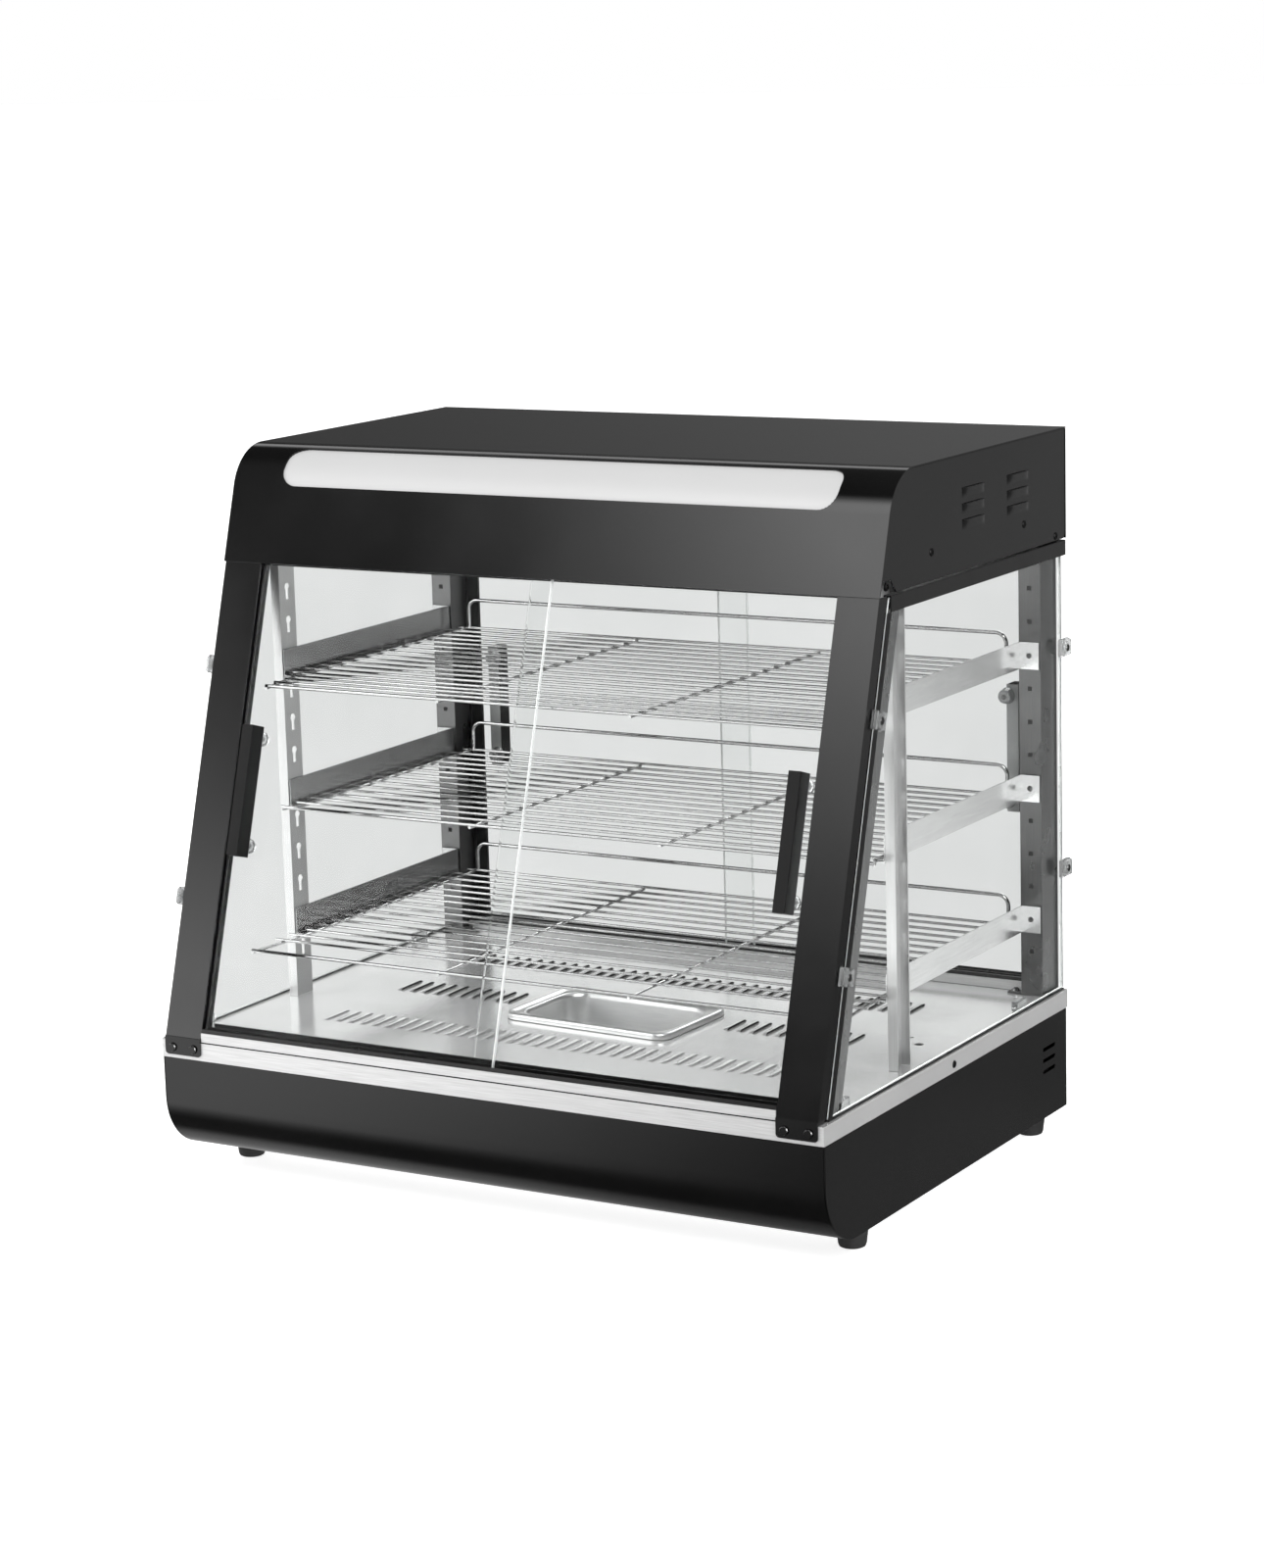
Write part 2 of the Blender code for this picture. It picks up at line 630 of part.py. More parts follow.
def make_lamp():
    lamp_y, lamp_z, half_l = -0.0540, 0.5900, 0.2450
    rod("lamp_tube", [(-half_l, lamp_y, lamp_z), (half_l, lamp_y, lamp_z)], 0.008, LAMP, CASE, sides=12)
    holder = half_l + GAP
    foot = 0.5560 + SHEET + GAP
    spans = [
        ((-holder - 0.010, lamp_y + 0.0200, foot), (holder + 0.010, lamp_y + 0.0400, foot + 0.0160)),
    ]
    fixture = boxes("lamp_fixture", spans, WHITE_PLASTIC, CASE)
    for side, sign in SIDES:
        ends = sorted((sign * holder, sign * (holder + 0.010)))
        socket = box(
            f"lamp_socket_{side}_joined",
            (ends[0], lamp_y - 0.012, foot + 0.001),
            (ends[1], lamp_y + 0.030, lamp_z + 0.012),
            parent=CASE,
            cutter=True,
        )
        join(fixture, socket)


# ---- front frame and doors ------------------------------------------------------------------------
def make_front_posts():
    slope_length = (FRONT_Z - FLOOR_Z) / cos(SLANT) + 0.010
    half = SHEET / 2
    face_y = -RIM_Y - GAP
    for side, sign in SIDES:
        inner, outer = sign * (POST_X[0] + half), sign * (POST_X[1] - half)
        web, end = POST_FACE + half, POST_FACE + POST_DEPTH
        profile = [(inner, end), (inner, web), (outer, web), (outer, end)]
        post = fold(f"front_post_{side}", profile, (-slope_length, 0.012), Z, BLACK_STEEL, SLOPE)
        low, high = sorted((sign * POST_X[0], sign * POST_X[1]))
        below = box(
            f"front_post_{side}_trim_cutter", (low - 0.01, -0.30, FLOOR_Z - 0.03),
            (high + 0.01, -0.20, FLOOR_Z + GAP), parent=CASE, cutter=True,
        )
        cut(post, below)
        # the part behind the hood is narrowed to pass the hood's side plate
        beside = sorted((sign * (HOOD_HALF_W - 0.0024), sign * (HOOD_HALF_W + 0.01)))
        shoulder = box(
            f"front_post_{side}_shoulder_cutter", (beside[0], -0.16, FRONT_Z - GAP),
            (beside[1], -0.09, FRONT_Z + 0.03), parent=CASE, cutter=True,
        )
        cut(post, shoulder)
        corners = [
            (low, POST_FOOT_TOP, 0), (low, POST_FOOT_LOW, 0), (high, POST_FOOT_LOW, 0), (high, POST_FOOT_TOP, 0),
        ]
        outline = [(p.x, p.y) for p in rounded(corners, 0.003)]
        plate = flat(
            f"front_post_{side}_foot_joined", outline, SHEET, Y, face_y - half, None, CASE, cutter=True
        )
        join(post, plate)
        for k, x in enumerate((POST_X[0] + 0.008, POST_X[1] - 0.008)):
            centre = (sign * x, face_y - SHEET - 0.0010, 0.1235)
            head = disc_cutter(f"front_post_{side}_screw_{k}_joined", centre, 0.0034, 0.0030, Y, CASE)
            join(post, head)


def make_front_tracks():
    half_l = POST_X[0] - GAP
    sill_y = -RIM_Y + SHEET / 2
    fold(
        "front_sill",
        [(sill_y, SILL_TOP), (sill_y, FLOOR_Z + GAP + SHEET / 2), (-0.2165, FLOOR_Z + GAP + SHEET / 2)],
        (-half_l, half_l), X, STEEL, CASE,
    )
    floor = FLOOR_Z + 2 * GAP + SHEET
    grooves = []
    for face in DOOR_FACES:
        front = slope_y(TRACK_TOP) + face / cos(SLANT)
        lean = (TRACK_TOP - floor) * tan(SLANT)
        grooves.append((front - 0.0008 - lean, front + GLASS / cos(SLANT) + 0.0008))
    front_y, rear_y = sill_y + SHEET / 2 + GAP, grooves[1][1] + 0.0020
    base = floor + 0.0012
    outline = [(front_y, floor), (rear_y, floor), (rear_y, TRACK_TOP)]
    for start, end in reversed(grooves):
        outline += [(end, TRACK_TOP), (end, base), (start, base), (start, TRACK_TOP)]
    outline.append((front_y, TRACK_TOP))
    flat("front_lower_track", outline, 2 * half_l, X, 0, BLACK_PLASTIC, CASE)

    # the upper track hangs inside the hood, its grooves open downwards, square to the slope
    low, high = 0.0010, 0.0140
    walls = [(DOOR_FACES[0] - 0.0028, DOOR_FACES[0] - 0.0008),
             (DOOR_FACES[0] + GLASS + 0.0008, DOOR_FACES[1] - 0.0008),
             (DOOR_FACES[1] + GLASS + 0.0008, DOOR_FACES[1] + GLASS + 0.0028)]
    outline = [(walls[0][0], high), (walls[0][0], low)]
    for k, (start, end) in enumerate(walls):
        outline += [(end, low)] if k == 0 else [(start, high - 0.002), (start, low), (end, low)]
        outline += [(end, high - 0.002)] if k < 2 else [(end, high)]
    flat("front_upper_track", outline, 2 * half_l, X, 0, BLACK_PLASTIC, SLOPE)


def handle_outline():
    """Section of a handle: a channel open towards the glass, as (x, outward)."""
    a, wall = HANDLE_W / 2, 0.0016
    return [
        (-a, 0), (-a, HANDLE_D), (a, HANDLE_D), (a, 0), (a - wall, 0), (a - wall, HANDLE_D - wall),
        (-a + wall, HANDLE_D - wall), (-a + wall, 0),
    ]


def make_front_doors():
    floor = FLOOR_Z + 2 * GAP + SHEET + 0.0012
    top = 0.0105
    for (side, sign), face in zip(SIDES, DOOR_FACES):
        drop = (FRONT_Z - floor) / cos(SLANT) - (face + GLASS) * tan(SLANT) - 0.0008
        slide = empty(f"front_door_{side}_slide", SLOPE, (sign * HANDLE_X, face, 0))
        near, far = sorted((-sign * DOOR_OVERLAP, sign * DOOR_HALF_W))
        glass = box(
            f"front_door_{side}_glass",
            (near - sign * HANDLE_X, 0, -drop), (far - sign * HANDLE_X, GLASS, top),
            CLEAR, slide,
        )
        bevel(glass, 0.0006)
        length = HANDLE_SPAN[1] - HANDLE_SPAN[0]
        grip = flat(
            f"front_door_{side}_handle", [(a, -b) for a, b in handle_outline()], length, Z,
            -sum(HANDLE_SPAN) / 2, BLACK_PLASTIC, slide,
        )
        grip.location.y = -GAP


def bevel(item, width):
    edge = item.modifiers.new("edges", "BEVEL")
    edge.width = width
    edge.segments = 1


# ---- rear frame and doors -------------------------------------------------------------------------
def make_rear_tracks():
    half_l = REAR_POST_X[0] - GAP
    floor = FLOOR_Z + GAP
    walls_y = (REAR_DOOR_Y[0] - 0.0028, REAR_DOOR_Y[1] + GLASS + 0.0028)
    for name, low, high, open_up in (
        ("rear_lower_track", floor, TRACK_TOP, True),
        ("rear_upper_track", 0.5405, 0.5550, False),
    ):
        base, mouth = (low, high) if open_up else (high, low)
        web = base + (0.002 if open_up else -0.002)
        outline = [(walls_y[0], base), (walls_y[0], mouth)]
        for k, face in enumerate(REAR_DOOR_Y):
            start, end = face - 0.0008, face + GLASS + 0.0008
            outline += [(start, mouth), (start, web), (end, web), (end, mouth)]
        outline += [(walls_y[1], mouth), (walls_y[1], base)]
        flat(name, outline, 2 * half_l, X, 0, BLACK_PLASTIC, CASE)


def make_rear_doors():
    # the left door runs in the outer track, the right door in the inner one
    for (side, sign), face, reach in zip(SIDES, reversed(REAR_DOOR_Y), REAR_HANDLE_X):
        origin = sign * reach
        slide = empty(f"rear_door_{side}_slide", CASE, (origin, face, 0))
        near, far = sorted((-sign * DOOR_OVERLAP, sign * REAR_DOOR_HALF_W))
        glass = box(
            f"rear_door_{side}_glass",
            (near - origin, 0, REAR_DOOR_Z[0]), (far - origin, GLASS, REAR_DOOR_Z[1]),
            CLEAR, slide,
        )
        bevel(glass, 0.0006)
        length = REAR_HANDLE_Z[1] - REAR_HANDLE_Z[0]
        grip = flat(
            f"rear_door_{side}_handle", handle_outline(), length, Z,
            sum(REAR_HANDLE_Z) / 2, BLACK_PLASTIC, slide,
        )
        grip.location.y = GLASS + GAP


def make_rear_posts():
    half = SHEET / 2
    front, rear = REAR_POST_Y[0] + half, REAR_POST_Y[1]
    for side, sign in SIDES:
        inner, outer = sign * (REAR_POST_X[0] + half), sign * (REAR_POST_X[1] - half)
        profile = [(inner, rear), (inner, front), (outer, front), (outer, rear)]
        post = fold(
            f"rear_post_{side}", profile, (FLOOR_Z + GAP, UPRIGHT_TOP), Z, DARK_STEEL, CASE
        )
        middle = (inner + outer) / 2
        holes = [
            ((middle - 0.0020, front - 0.01, z - 0.0020), (middle + 0.0020, front + 0.01, z + 0.0020))
            for z in hole_heights()
        ]
        cut(post, boxes(f"rear_post_{side}_holes_cutter", holes, parent=CASE, cutter=True))
        ends = sorted((sign * (REAR_POST_X[0] - 0.014), sign * (REAR_POST_X[0] + half)))
        tab = box(
            f"rear_post_{side}_tab_joined", (ends[0], REAR_POST_Y[0], FLOOR_Z + GAP),
            (ends[1], REAR_POST_Y[0] + 0.0100, FLOOR_Z + GAP + 0.0015), parent=CASE, cutter=True,
        )
        join(post, tab)


def hole_heights():
    """Heights of the free adjustment holes; those that hold a rail are left out."""
    first = RAIL_LOW[0] + RAIL_H / 2
    held = {0, 4, 8}
    return [first + HOLE_PITCH * k for k in range(-1, 11) if k not in held]


# ---- uprights, rails and side glass ---------------------------------------------------------------
def keyhole(y, z, steps=5):
    """Outline of a keyhole: a round mouth with a narrow slot under it, as (y, z)."""
    mouth, slot, drop = 0.0038, 0.0021, 0.0115
    start = asin(slot / mouth)
    turns = [-pi / 2 + start + (2 * pi - 2 * start) * k / steps for k in range(steps + 1)]
    ring = [(y + mouth * cos(t), z + mouth * sin(t)) for t in turns]
    return ring + [(y - slot, z - drop), (y + slot, z - drop)]


def make_uprights():
    half = SHEET / 2
    web = UPRIGHT_X[0] + half
    centre_y = sum(UPRIGHT_Y) / 2
    for side, sign in SIDES:
        profile = [
            (sign * UPRIGHT_X[1], UPRIGHT_Y[0] + half), (sign * web, UPRIGHT_Y[0] + half),
            (sign * web, UPRIGHT_Y[1] - half), (sign * UPRIGHT_X[1], UPRIGHT_Y[1] - half),
        ]
        upright = fold(f"upright_{side}", profile, (FLOOR_Z + GAP, UPRIGHT_TOP), Z, STEEL, CASE)
        first = RAIL_LOW[0] + RAIL_H / 2 + 0.0080
        for k in range(-1, 11):
            outline = keyhole(centre_y, first + HOLE_PITCH * k)
            hole = flat(
                f"keyhole_{side}_{k + 1}_cutter", outline, 0.006, X, sign * web, None, CASE, cutter=True
            )
            cut(upright, hole)


def make_rails():
    half = SHEET / 2
    centre_y = sum(UPRIGHT_Y) / 2
    for level, low in zip(RACK_NAMES, RAIL_LOW):
        for side, sign in SIDES:
            web = sign * RAIL_X[1]
            profile = [(web, low + RAIL_H), (web, low + half), (sign * RAIL_X[0], low + half)]
            rail = fold(f"rail_{level}_{side}", profile, RAIL_Y, Y, STEEL, CASE)
            ends = sorted((web - sign * half, sign * (REAR_POST_X[1] - 0.0010)))
            tab = box(
                f"rail_{level}_{side}_tab_joined",
                (ends[0], RAIL_Y[1] - SHEET, low), (ends[1], RAIL_Y[1] + 0.0008, low + RAIL_H),
                parent=CASE, cutter=True,
            )
            join(rail, tab)
            # the stud hangs in the slot of a keyhole
            stud = disc_cutter(
                f"rail_{level}_{side}_stud_joined", (sign * 0.3022, centre_y, low + RAIL_H / 2),
                0.0017, 0.0056, X, CASE, 8,
            )
            join(rail, stud)


def make_side_glass():
    half = SHEET / 2
    low_z = FLOOR_Z + 0.0015
    front_gap = (POST_FACE + POST_DEPTH + 0.0010) / cos(SLANT)
    top = CHANNEL_Z[1] - 0.0022
    outline = [
        (slope_y(low_z) + front_gap, low_z), (REAR_POST_Y[1] - 0.0004, low_z),
        (REAR_POST_Y[1] - 0.0004, top), (slope_y(top) + front_gap, top),
    ]
    for side, sign in SIDES:
        at = sign * (SIDE_GLASS_X + GLASS / 2)
        glass = flat(f"side_glass_{side}", outline, GLASS, X, at, CLEAR, CASE)
        bevel(glass, 0.0006)
        walls = (sign * (SIDE_GLASS_X - 0.0004 - half), sign * (SIDE_GLASS_X + GLASS + 0.0004 + half))
        profile = [
            (walls[0], CHANNEL_Z[0]), (walls[0], CHANNEL_Z[1] - half),
            (walls[1], CHANNEL_Z[1] - half), (walls[1], CHANNEL_Z[0]),
        ]
        front = slope_y(CHANNEL_Z[1]) + front_gap
        fold(
            f"side_glass_channel_{side}", profile, (front, REAR_POST_Y[1] + 0.0080), Y, BLACK_PLASTIC, CASE
        )
        # a folded strip stiffens the leaning edge of the glass from inside
        inner, outer = sign * 0.3110, sign * (SIDE_GLASS_X - 0.0004 - half)
        start, width = POST_FACE + POST_DEPTH + 0.0100, 0.0190
        profile = [(inner, start), (outer, start), (outer, start + width)]
        slope_length = (FRONT_Z - FLOOR_Z) / cos(SLANT)
        strip = fold(f"front_angle_{side}", profile, (-slope_length - 0.01, 0), Z, STEEL, SLOPE)
        for name, low, high in (
            ("floor", FLOOR_Z - 0.05, FLOOR_Z + GAP), ("top", CHANNEL_Z[0] - GAP, FRONT_Z + 0.05),
        ):
            trim = box(
                f"front_angle_{side}_{name}_cutter", (-0.4, -0.3, low), (0.4, 0.1, high),
                parent=CASE, cutter=True,
            )
            cut(strip, trim)


# ---- racks ----------------------------------------------------------------------------------------
def make_racks():
    for level, low, front in zip(RACK_NAMES, RAIL_LOW, RACK_FRONT):
        z = SHEET + GAP + WIRE / 2
        lift = empty(f"rack_{level}_lift", CASE, (0, 0, low))
        gaps = round((RACK_REAR - front) / RACK_WIRE_PITCH)
        along = [front + (RACK_REAR - front) * k / gaps for k in range(gaps + 1)]
        half = WIRE / 2
        bars = [((-RACK_HALF_W, y - half, z - half), (RACK_HALF_W, y + half, z + half)) for y in along]
        under = z - WIRE + 0.0004
        # the outer cross wires pass over the rail flanges' inner edges
        cross = [
            ((x - half, front - 0.001, under - half), (x + half, RACK_REAR + 0.001, under + half))
            for x in CROSS_WIRE_X
        ]
        rack = boxes(f"rack_{level}", bars, CHROME, lift)
        join(rack, boxes(f"rack_{level}_cross_wires_joined", cross, parent=lift, cutter=True))
        x = CROSS_WIRE_X[-1]
        corners = [(-x, RACK_REAR, z), (-x, RACK_REAR, z + GUARD_H), (x, RACK_REAR, z + GUARD_H), (x, RACK_REAR, z)]
        guard = rod(
            f"rack_{level}_guard_joined", rounded(corners, GUARD_CORNER, 3), 0.0015, None, lift, cutter=True
        )
        join(rack, guard)


make_feet()
make_base()
make_floor()
make_pan()
make_heating()
make_controls()
make_hood()
make_lamp()
make_front_posts()
make_front_tracks()
make_front_doors()
make_rear_posts()
make_rear_tracks()
make_rear_doors()
make_uprights()
make_rails()
make_side_glass()
make_racks()
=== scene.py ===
"""Looks of a countertop hot food display case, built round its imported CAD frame.

Metres, +X to the right of the customer side, +Y towards the service side, +Z up.
"""

import json
from math import cos, pi, radians, sin, tan

import bmesh
import bpy
from mathutils import Matrix, Vector


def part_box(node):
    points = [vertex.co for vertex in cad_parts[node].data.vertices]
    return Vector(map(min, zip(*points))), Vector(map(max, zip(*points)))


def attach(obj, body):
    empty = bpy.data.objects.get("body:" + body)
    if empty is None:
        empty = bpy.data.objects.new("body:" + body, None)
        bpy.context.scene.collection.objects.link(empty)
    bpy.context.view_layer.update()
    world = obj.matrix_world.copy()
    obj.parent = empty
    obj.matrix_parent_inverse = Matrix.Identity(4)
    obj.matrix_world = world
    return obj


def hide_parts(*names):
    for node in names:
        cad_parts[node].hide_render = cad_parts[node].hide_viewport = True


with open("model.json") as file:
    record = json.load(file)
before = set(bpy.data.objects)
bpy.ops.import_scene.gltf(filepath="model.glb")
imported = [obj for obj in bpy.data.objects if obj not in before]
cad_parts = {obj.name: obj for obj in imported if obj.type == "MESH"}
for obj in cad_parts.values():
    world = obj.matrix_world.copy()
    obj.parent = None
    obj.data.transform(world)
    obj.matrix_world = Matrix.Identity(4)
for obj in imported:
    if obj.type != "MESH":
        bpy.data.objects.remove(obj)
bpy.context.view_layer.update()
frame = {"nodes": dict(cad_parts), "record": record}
BODY_OF = {n: b for b, nodes in frame["record"]["behaviour"]["bodies"].items() for n in nodes}

# ---- the case's own frame, and the sizes that its pieces share ------------------------------------
X, Y, Z = range(3)
SIDES = (("left", -1), ("right", 1))
OUTWARD = {-1: "-X", 1: "+X"}
RIM_Y = 0.2415
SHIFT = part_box("floor_tray")[0].y + RIM_Y
CASE = Matrix.Translation((0, SHIFT, 0))
SLANT = radians(16.92)
FRONT_Y, FRONT_Z = -0.1195, 0.5400
SLOPE = CASE @ Matrix.Translation((0, FRONT_Y, FRONT_Z)) @ Matrix.Rotation(-SLANT, 4, "X")
SHEET = 0.0012
GAP = 0.0003                    # between neighbouring pieces
EDGE = 0.0003                   # usual rounding of an edge

HALF_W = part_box("floor_tray")[1].x
RIM_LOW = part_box("floor_tray")[0].z
FLOOR_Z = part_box("floor_tray")[1].z
BASE_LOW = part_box("base_side_panel_left")[0].z
BASE_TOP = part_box("base_side_panel_left")[1].z
BASE_FRONT, BASE_REAR = -0.2400, 0.2375
NOSE_R = 0.055

HOOD_HALF_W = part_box("hood_shell")[1].x
HOOD_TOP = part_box("hood_shell")[1].z
HOOD_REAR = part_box("hood_shell")[1].y - SHIFT
HOOD_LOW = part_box("hood_side_left")[0].z
HOOD_R = 0.048
GLASS = 0.004
SIDE_GLASS_X = 0.3215           # inner face of a side glass
POST_END = 0.0165               # rear edge of a front post, behind the slanted plane
DOORWAY_X = 0.2865              # half the clear width between the front posts
HANDLE_X = 0.2690               # middle of a front handle

PAN_X, PAN_Y, PAN_TURN = 0.0020, -0.0105, radians(-3.0)
KNOB_X, CONTROL_Z = 0.2250, 0.0680
SCREW_R = 0.0034


def slope_y(z, behind=0.0):
    """Where a plane behind the slanted front plane is at a height."""
    return FRONT_Y + (z - FRONT_Z) * tan(SLANT) + behind / cos(SLANT)


HOOD_CENTRE = (slope_y(HOOD_TOP - HOOD_R) + HOOD_R / cos(SLANT), HOOD_TOP - HOOD_R)


# ---- materials ------------------------------------------------------------------------------------
class Finish:
    """A material and the short-hands that its nodes are wired with."""

    def __init__(self, name, slot, **constants):
        self.material = bpy.data.materials.new(name)
        self.material["slot"] = slot
        self.material.use_nodes = True
        self.tree = self.material.node_tree
        self.shader = self.tree.nodes["Principled BSDF"]
        for key, value in constants.items():
            self.shader.inputs[key.replace("_", " ")].default_value = value

    def node(self, kind, **settings):
        made = self.tree.nodes.new(f"ShaderNode{kind}")
        for key, value in settings.items():
            if key in made.inputs:
                made.inputs[key].default_value = value
            else:
                setattr(made, key, value)
        return made

    def wire(self, source, target):
        self.tree.links.new(source, target)

    def noise(self, stretch, scale, detail=3.0):
        """Noise over the piece's own coordinates, drawn out along the axes by stretch."""
        where = self.node("TexCoord")
        mapping = self.node("Mapping")
        mapping.inputs["Scale"].default_value = stretch
        noise = self.node("TexNoise", Scale=scale, Detail=detail)
        self.wire(where.outputs["Object"], mapping.inputs["Vector"])
        self.wire(mapping.outputs["Vector"], noise.inputs["Vector"])
        return noise.outputs["Fac"]

    def colour(self, source, dark, light, low=0.3, high=0.7):
        ramp = self.node("ValToRGB")
        ramp.color_ramp.elements[0].position = low
        ramp.color_ramp.elements[1].position = high
        ramp.color_ramp.elements[0].color = (*dark, 1)
        ramp.color_ramp.elements[1].color = (*light, 1)
        self.wire(source, ramp.inputs["Fac"])
        self.wire(ramp.outputs["Color"], self.shader.inputs["Base Color"])

    def spread(self, source, low, high, at_low, at_high, curve="LINEAR"):
        """A value that goes from at_low to at_high as the source goes from low to high."""
        made = self.node("MapRange", interpolation_type=curve)
        ends = (("From Min", low), ("From Max", high), ("To Min", at_low), ("To Max", at_high))
        for key, value in ends:
            made.inputs[key].default_value = value
        self.wire(source, made.inputs["Value"])
        return made.outputs["Result"]

    def roughness(self, source, smooth, rough, low=0.3, high=0.7):
        self.wire(self.spread(source, low, high, smooth, rough), self.shader.inputs["Roughness"])

    def bump(self, source, strength, distance):
        bump = self.node("Bump", Strength=strength, Distance=distance)
        self.wire(source, bump.inputs["Height"])
        self.wire(bump.outputs["Normal"], self.shader.inputs["Normal"])

    def end_in_mix(self, chooser, when_off, when_on):
        """The material's surface is one of two shaders, by a value from 0 to 1."""
        mix = self.node("MixShader")
        self.wire(chooser, mix.inputs["Fac"])
        self.wire(when_off, mix.inputs[1])
        self.wire(when_on, mix.inputs[2])
        self.wire(mix.outputs["Shader"], self.tree.nodes["Material Output"].inputs["Surface"])


def grey(value):
    return (value, value, value)


def painted_steel(name, slot, dark, light, smooth, rough):
    """Sprayed paint: a fine orange peel, and faint cloudy wear in its gloss."""
    f = Finish(name, slot, Specular_IOR_Level=0.5)
    cloud = f.noise((1, 1, 1), 9.0)
    f.colour(cloud, grey(dark), grey(light))
    f.roughness(cloud, smooth, rough)
    f.bump(f.noise((1, 1, 1), 900.0, 2.0), 0.05, 0.0002)
    return f.material


def brushed_steel(
    name, grain, dark=0.56, light=0.64, smooth=0.18, rough=0.26, slot="brushed_stainless", metallic=1.0
):
    """Stainless sheet, rubbed along one axis, with faint cloudy patches in its shine."""
    across, along = 420.0, 9.0
    stretch = [across] * 3
    stretch[grain] = along
    f = Finish(name, slot, Metallic=metallic)
    f.colour(f.noise(stretch, 3.0), grey(dark), grey(light))
    f.roughness(f.noise((1, 1, 1), 22.0), smooth, rough)
    return f.material


def moulded(name, slot, dark, light, smooth, rough, grain=700.0, depth=0.15, specular=0.5):
    """Moulded plastic or rubber with a fine spark-eroded grain."""
    f = Finish(name, slot, Specular_IOR_Level=specular)
    cloud = f.noise((1, 1, 1), 30.0)
    f.colour(cloud, grey(dark), grey(light))
    f.roughness(cloud, smooth, rough)
    f.bump(f.noise((1, 1, 1), grain, 2.0), depth, 0.0002)
    return f.material


def clear(name, slot, dark, light, smooth, rough, through=1.0, ior=1.45):
    """Clear glass or plastic that lets the lamps light what is behind it."""
    f = Finish(name, slot, Transmission_Weight=through, IOR=ior)
    haze = f.noise((1, 1, 1), 14.0)
    f.colour(haze, dark, light)
    f.roughness(haze, smooth, rough)
    shadow = f.node("LightPath").outputs["Is Shadow Ray"]
    f.end_in_mix(shadow, f.shader.outputs["BSDF"], f.node("BsdfTransparent").outputs["BSDF"])
    return f.material


def glowing(name, slot, low, high, strength):
    """A white surface that gives light, a little uneven underneath."""
    f = Finish(name, slot, Emission_Strength=strength)
    cloud = f.noise((1, 1, 1), 3.0)
    f.colour(cloud, grey(low), grey(high))
    f.roughness(cloud, 0.25, 0.35)
    f.shader.inputs["Emission Color"].default_value = (1, 1, 1, 1)
    return f.material


PAINT = painted_steel("paint_black", "black_painted_steel", 0.0022, 0.0034, 0.08, 0.13)
PAINT_POST = painted_steel("paint_black_posts", "black_painted_steel", 0.0022, 0.0034, 0.10, 0.16)
PAINT_GREY = brushed_steel("steel_grey", Z, 0.110, 0.135, 0.26, 0.36, "grey_painted_steel")
STEEL_X = brushed_steel("stainless_along_x", X, 0.76, 0.82, 0.15, 0.22, "brushed_stainless", 0.75)
STEEL_RIM = brushed_steel("stainless_rim", X, 0.52, 0.66, 0.42, 0.52, "brushed_stainless", 0.6)
STEEL_Y = brushed_steel("stainless_along_y", Y, 0.60, 0.68)
# painted shade: a darker copy of the rail steel, given to the left rails only
STEEL_RAIL_PAINTED_SHADE = brushed_steel("stainless_rail_painted_shade", Y, 0.32, 0.40)
STEEL_Z = brushed_steel("stainless_along_z", Z, 0.50, 0.58, 0.28, 0.36, "brushed_stainless", 0.85)
STEEL_PAN = brushed_steel("stainless_pan", X, 0.76, 0.84, 0.27, 0.34, "brushed_stainless", 0.92)
# a dark steel: painted shade on the angle strips behind the side glass, and the heating element's dark tone
STEEL_DARK_WITH_PAINTED_SHADE = brushed_steel("stainless_dark_with_painted_shade", Z, 0.11, 0.17, 0.22, 0.34)
CHROME = brushed_steel("chromed_wire", X, 0.44, 0.52, 0.04, 0.08, "chromed_wire")
SCREW = brushed_steel("screw_steel", X, 0.10, 0.22, 0.22, 0.38)
BLACK = moulded("plastic_black", "black_plastic", 0.0030, 0.0050, 0.26, 0.36)
GRIP = moulded("plastic_grip", "black_plastic", 0.0025, 0.0040, 0.34, 0.44, specular=0.22)
PAD = moulded("plastic_pad", "white_plastic", 0.30, 0.38, 0.40, 0.55)
# painted shade: a near-black matt finish put in slits, seams and hollows where only shade would be
PAINTED_SHADE_BLACK = moulded("slit_painted_shade", "black_plastic", 0.004, 0.007, 0.80, 0.90)
SEAL = moulded("rubber_seal", "black_plastic", 0.0035, 0.0055, 0.45, 0.60)
RUBBER = moulded("rubber_feet", "black_rubber", 0.012, 0.020, 0.55, 0.75, 400.0, 0.25)
WHITE = moulded("plastic_white", "white_plastic", 0.62, 0.72, 0.35, 0.50)
PANE = clear(
    "glass_pane", "clear_glass", (0.930, 0.940, 0.936), (0.955, 0.963, 0.960), 0.0, 0.004, ior=1.12
)
PANE_EDGE = clear("glass_edge", "clear_glass", (0.78, 0.81, 0.80), (0.88, 0.90, 0.89), 0.22, 0.34, 0.35)
CLIP = clear("clear_clip", "clear_glass", (0.50, 0.51, 0.51), (0.92, 0.93, 0.93), 0.02, 0.06, 0.90, 1.55)
# painted light: the sign diffuser glows by itself, standing in for the lamp shining through it
SIGN_PAINTED_GLOW = glowing("sign_white_painted_glow", "white_diffuser", 0.22, 0.25, 0.31)
LAMP = glowing("lamp_white", "lamp_glass", 0.85, 0.95, 0.60)


# ---- mesh helpers ---------------------------------------------------------------------------------
def axis_point(axis, along, a, b):
    rest = [a, b]
    return Vector([along if i == axis else rest.pop(0) for i in range(3)])


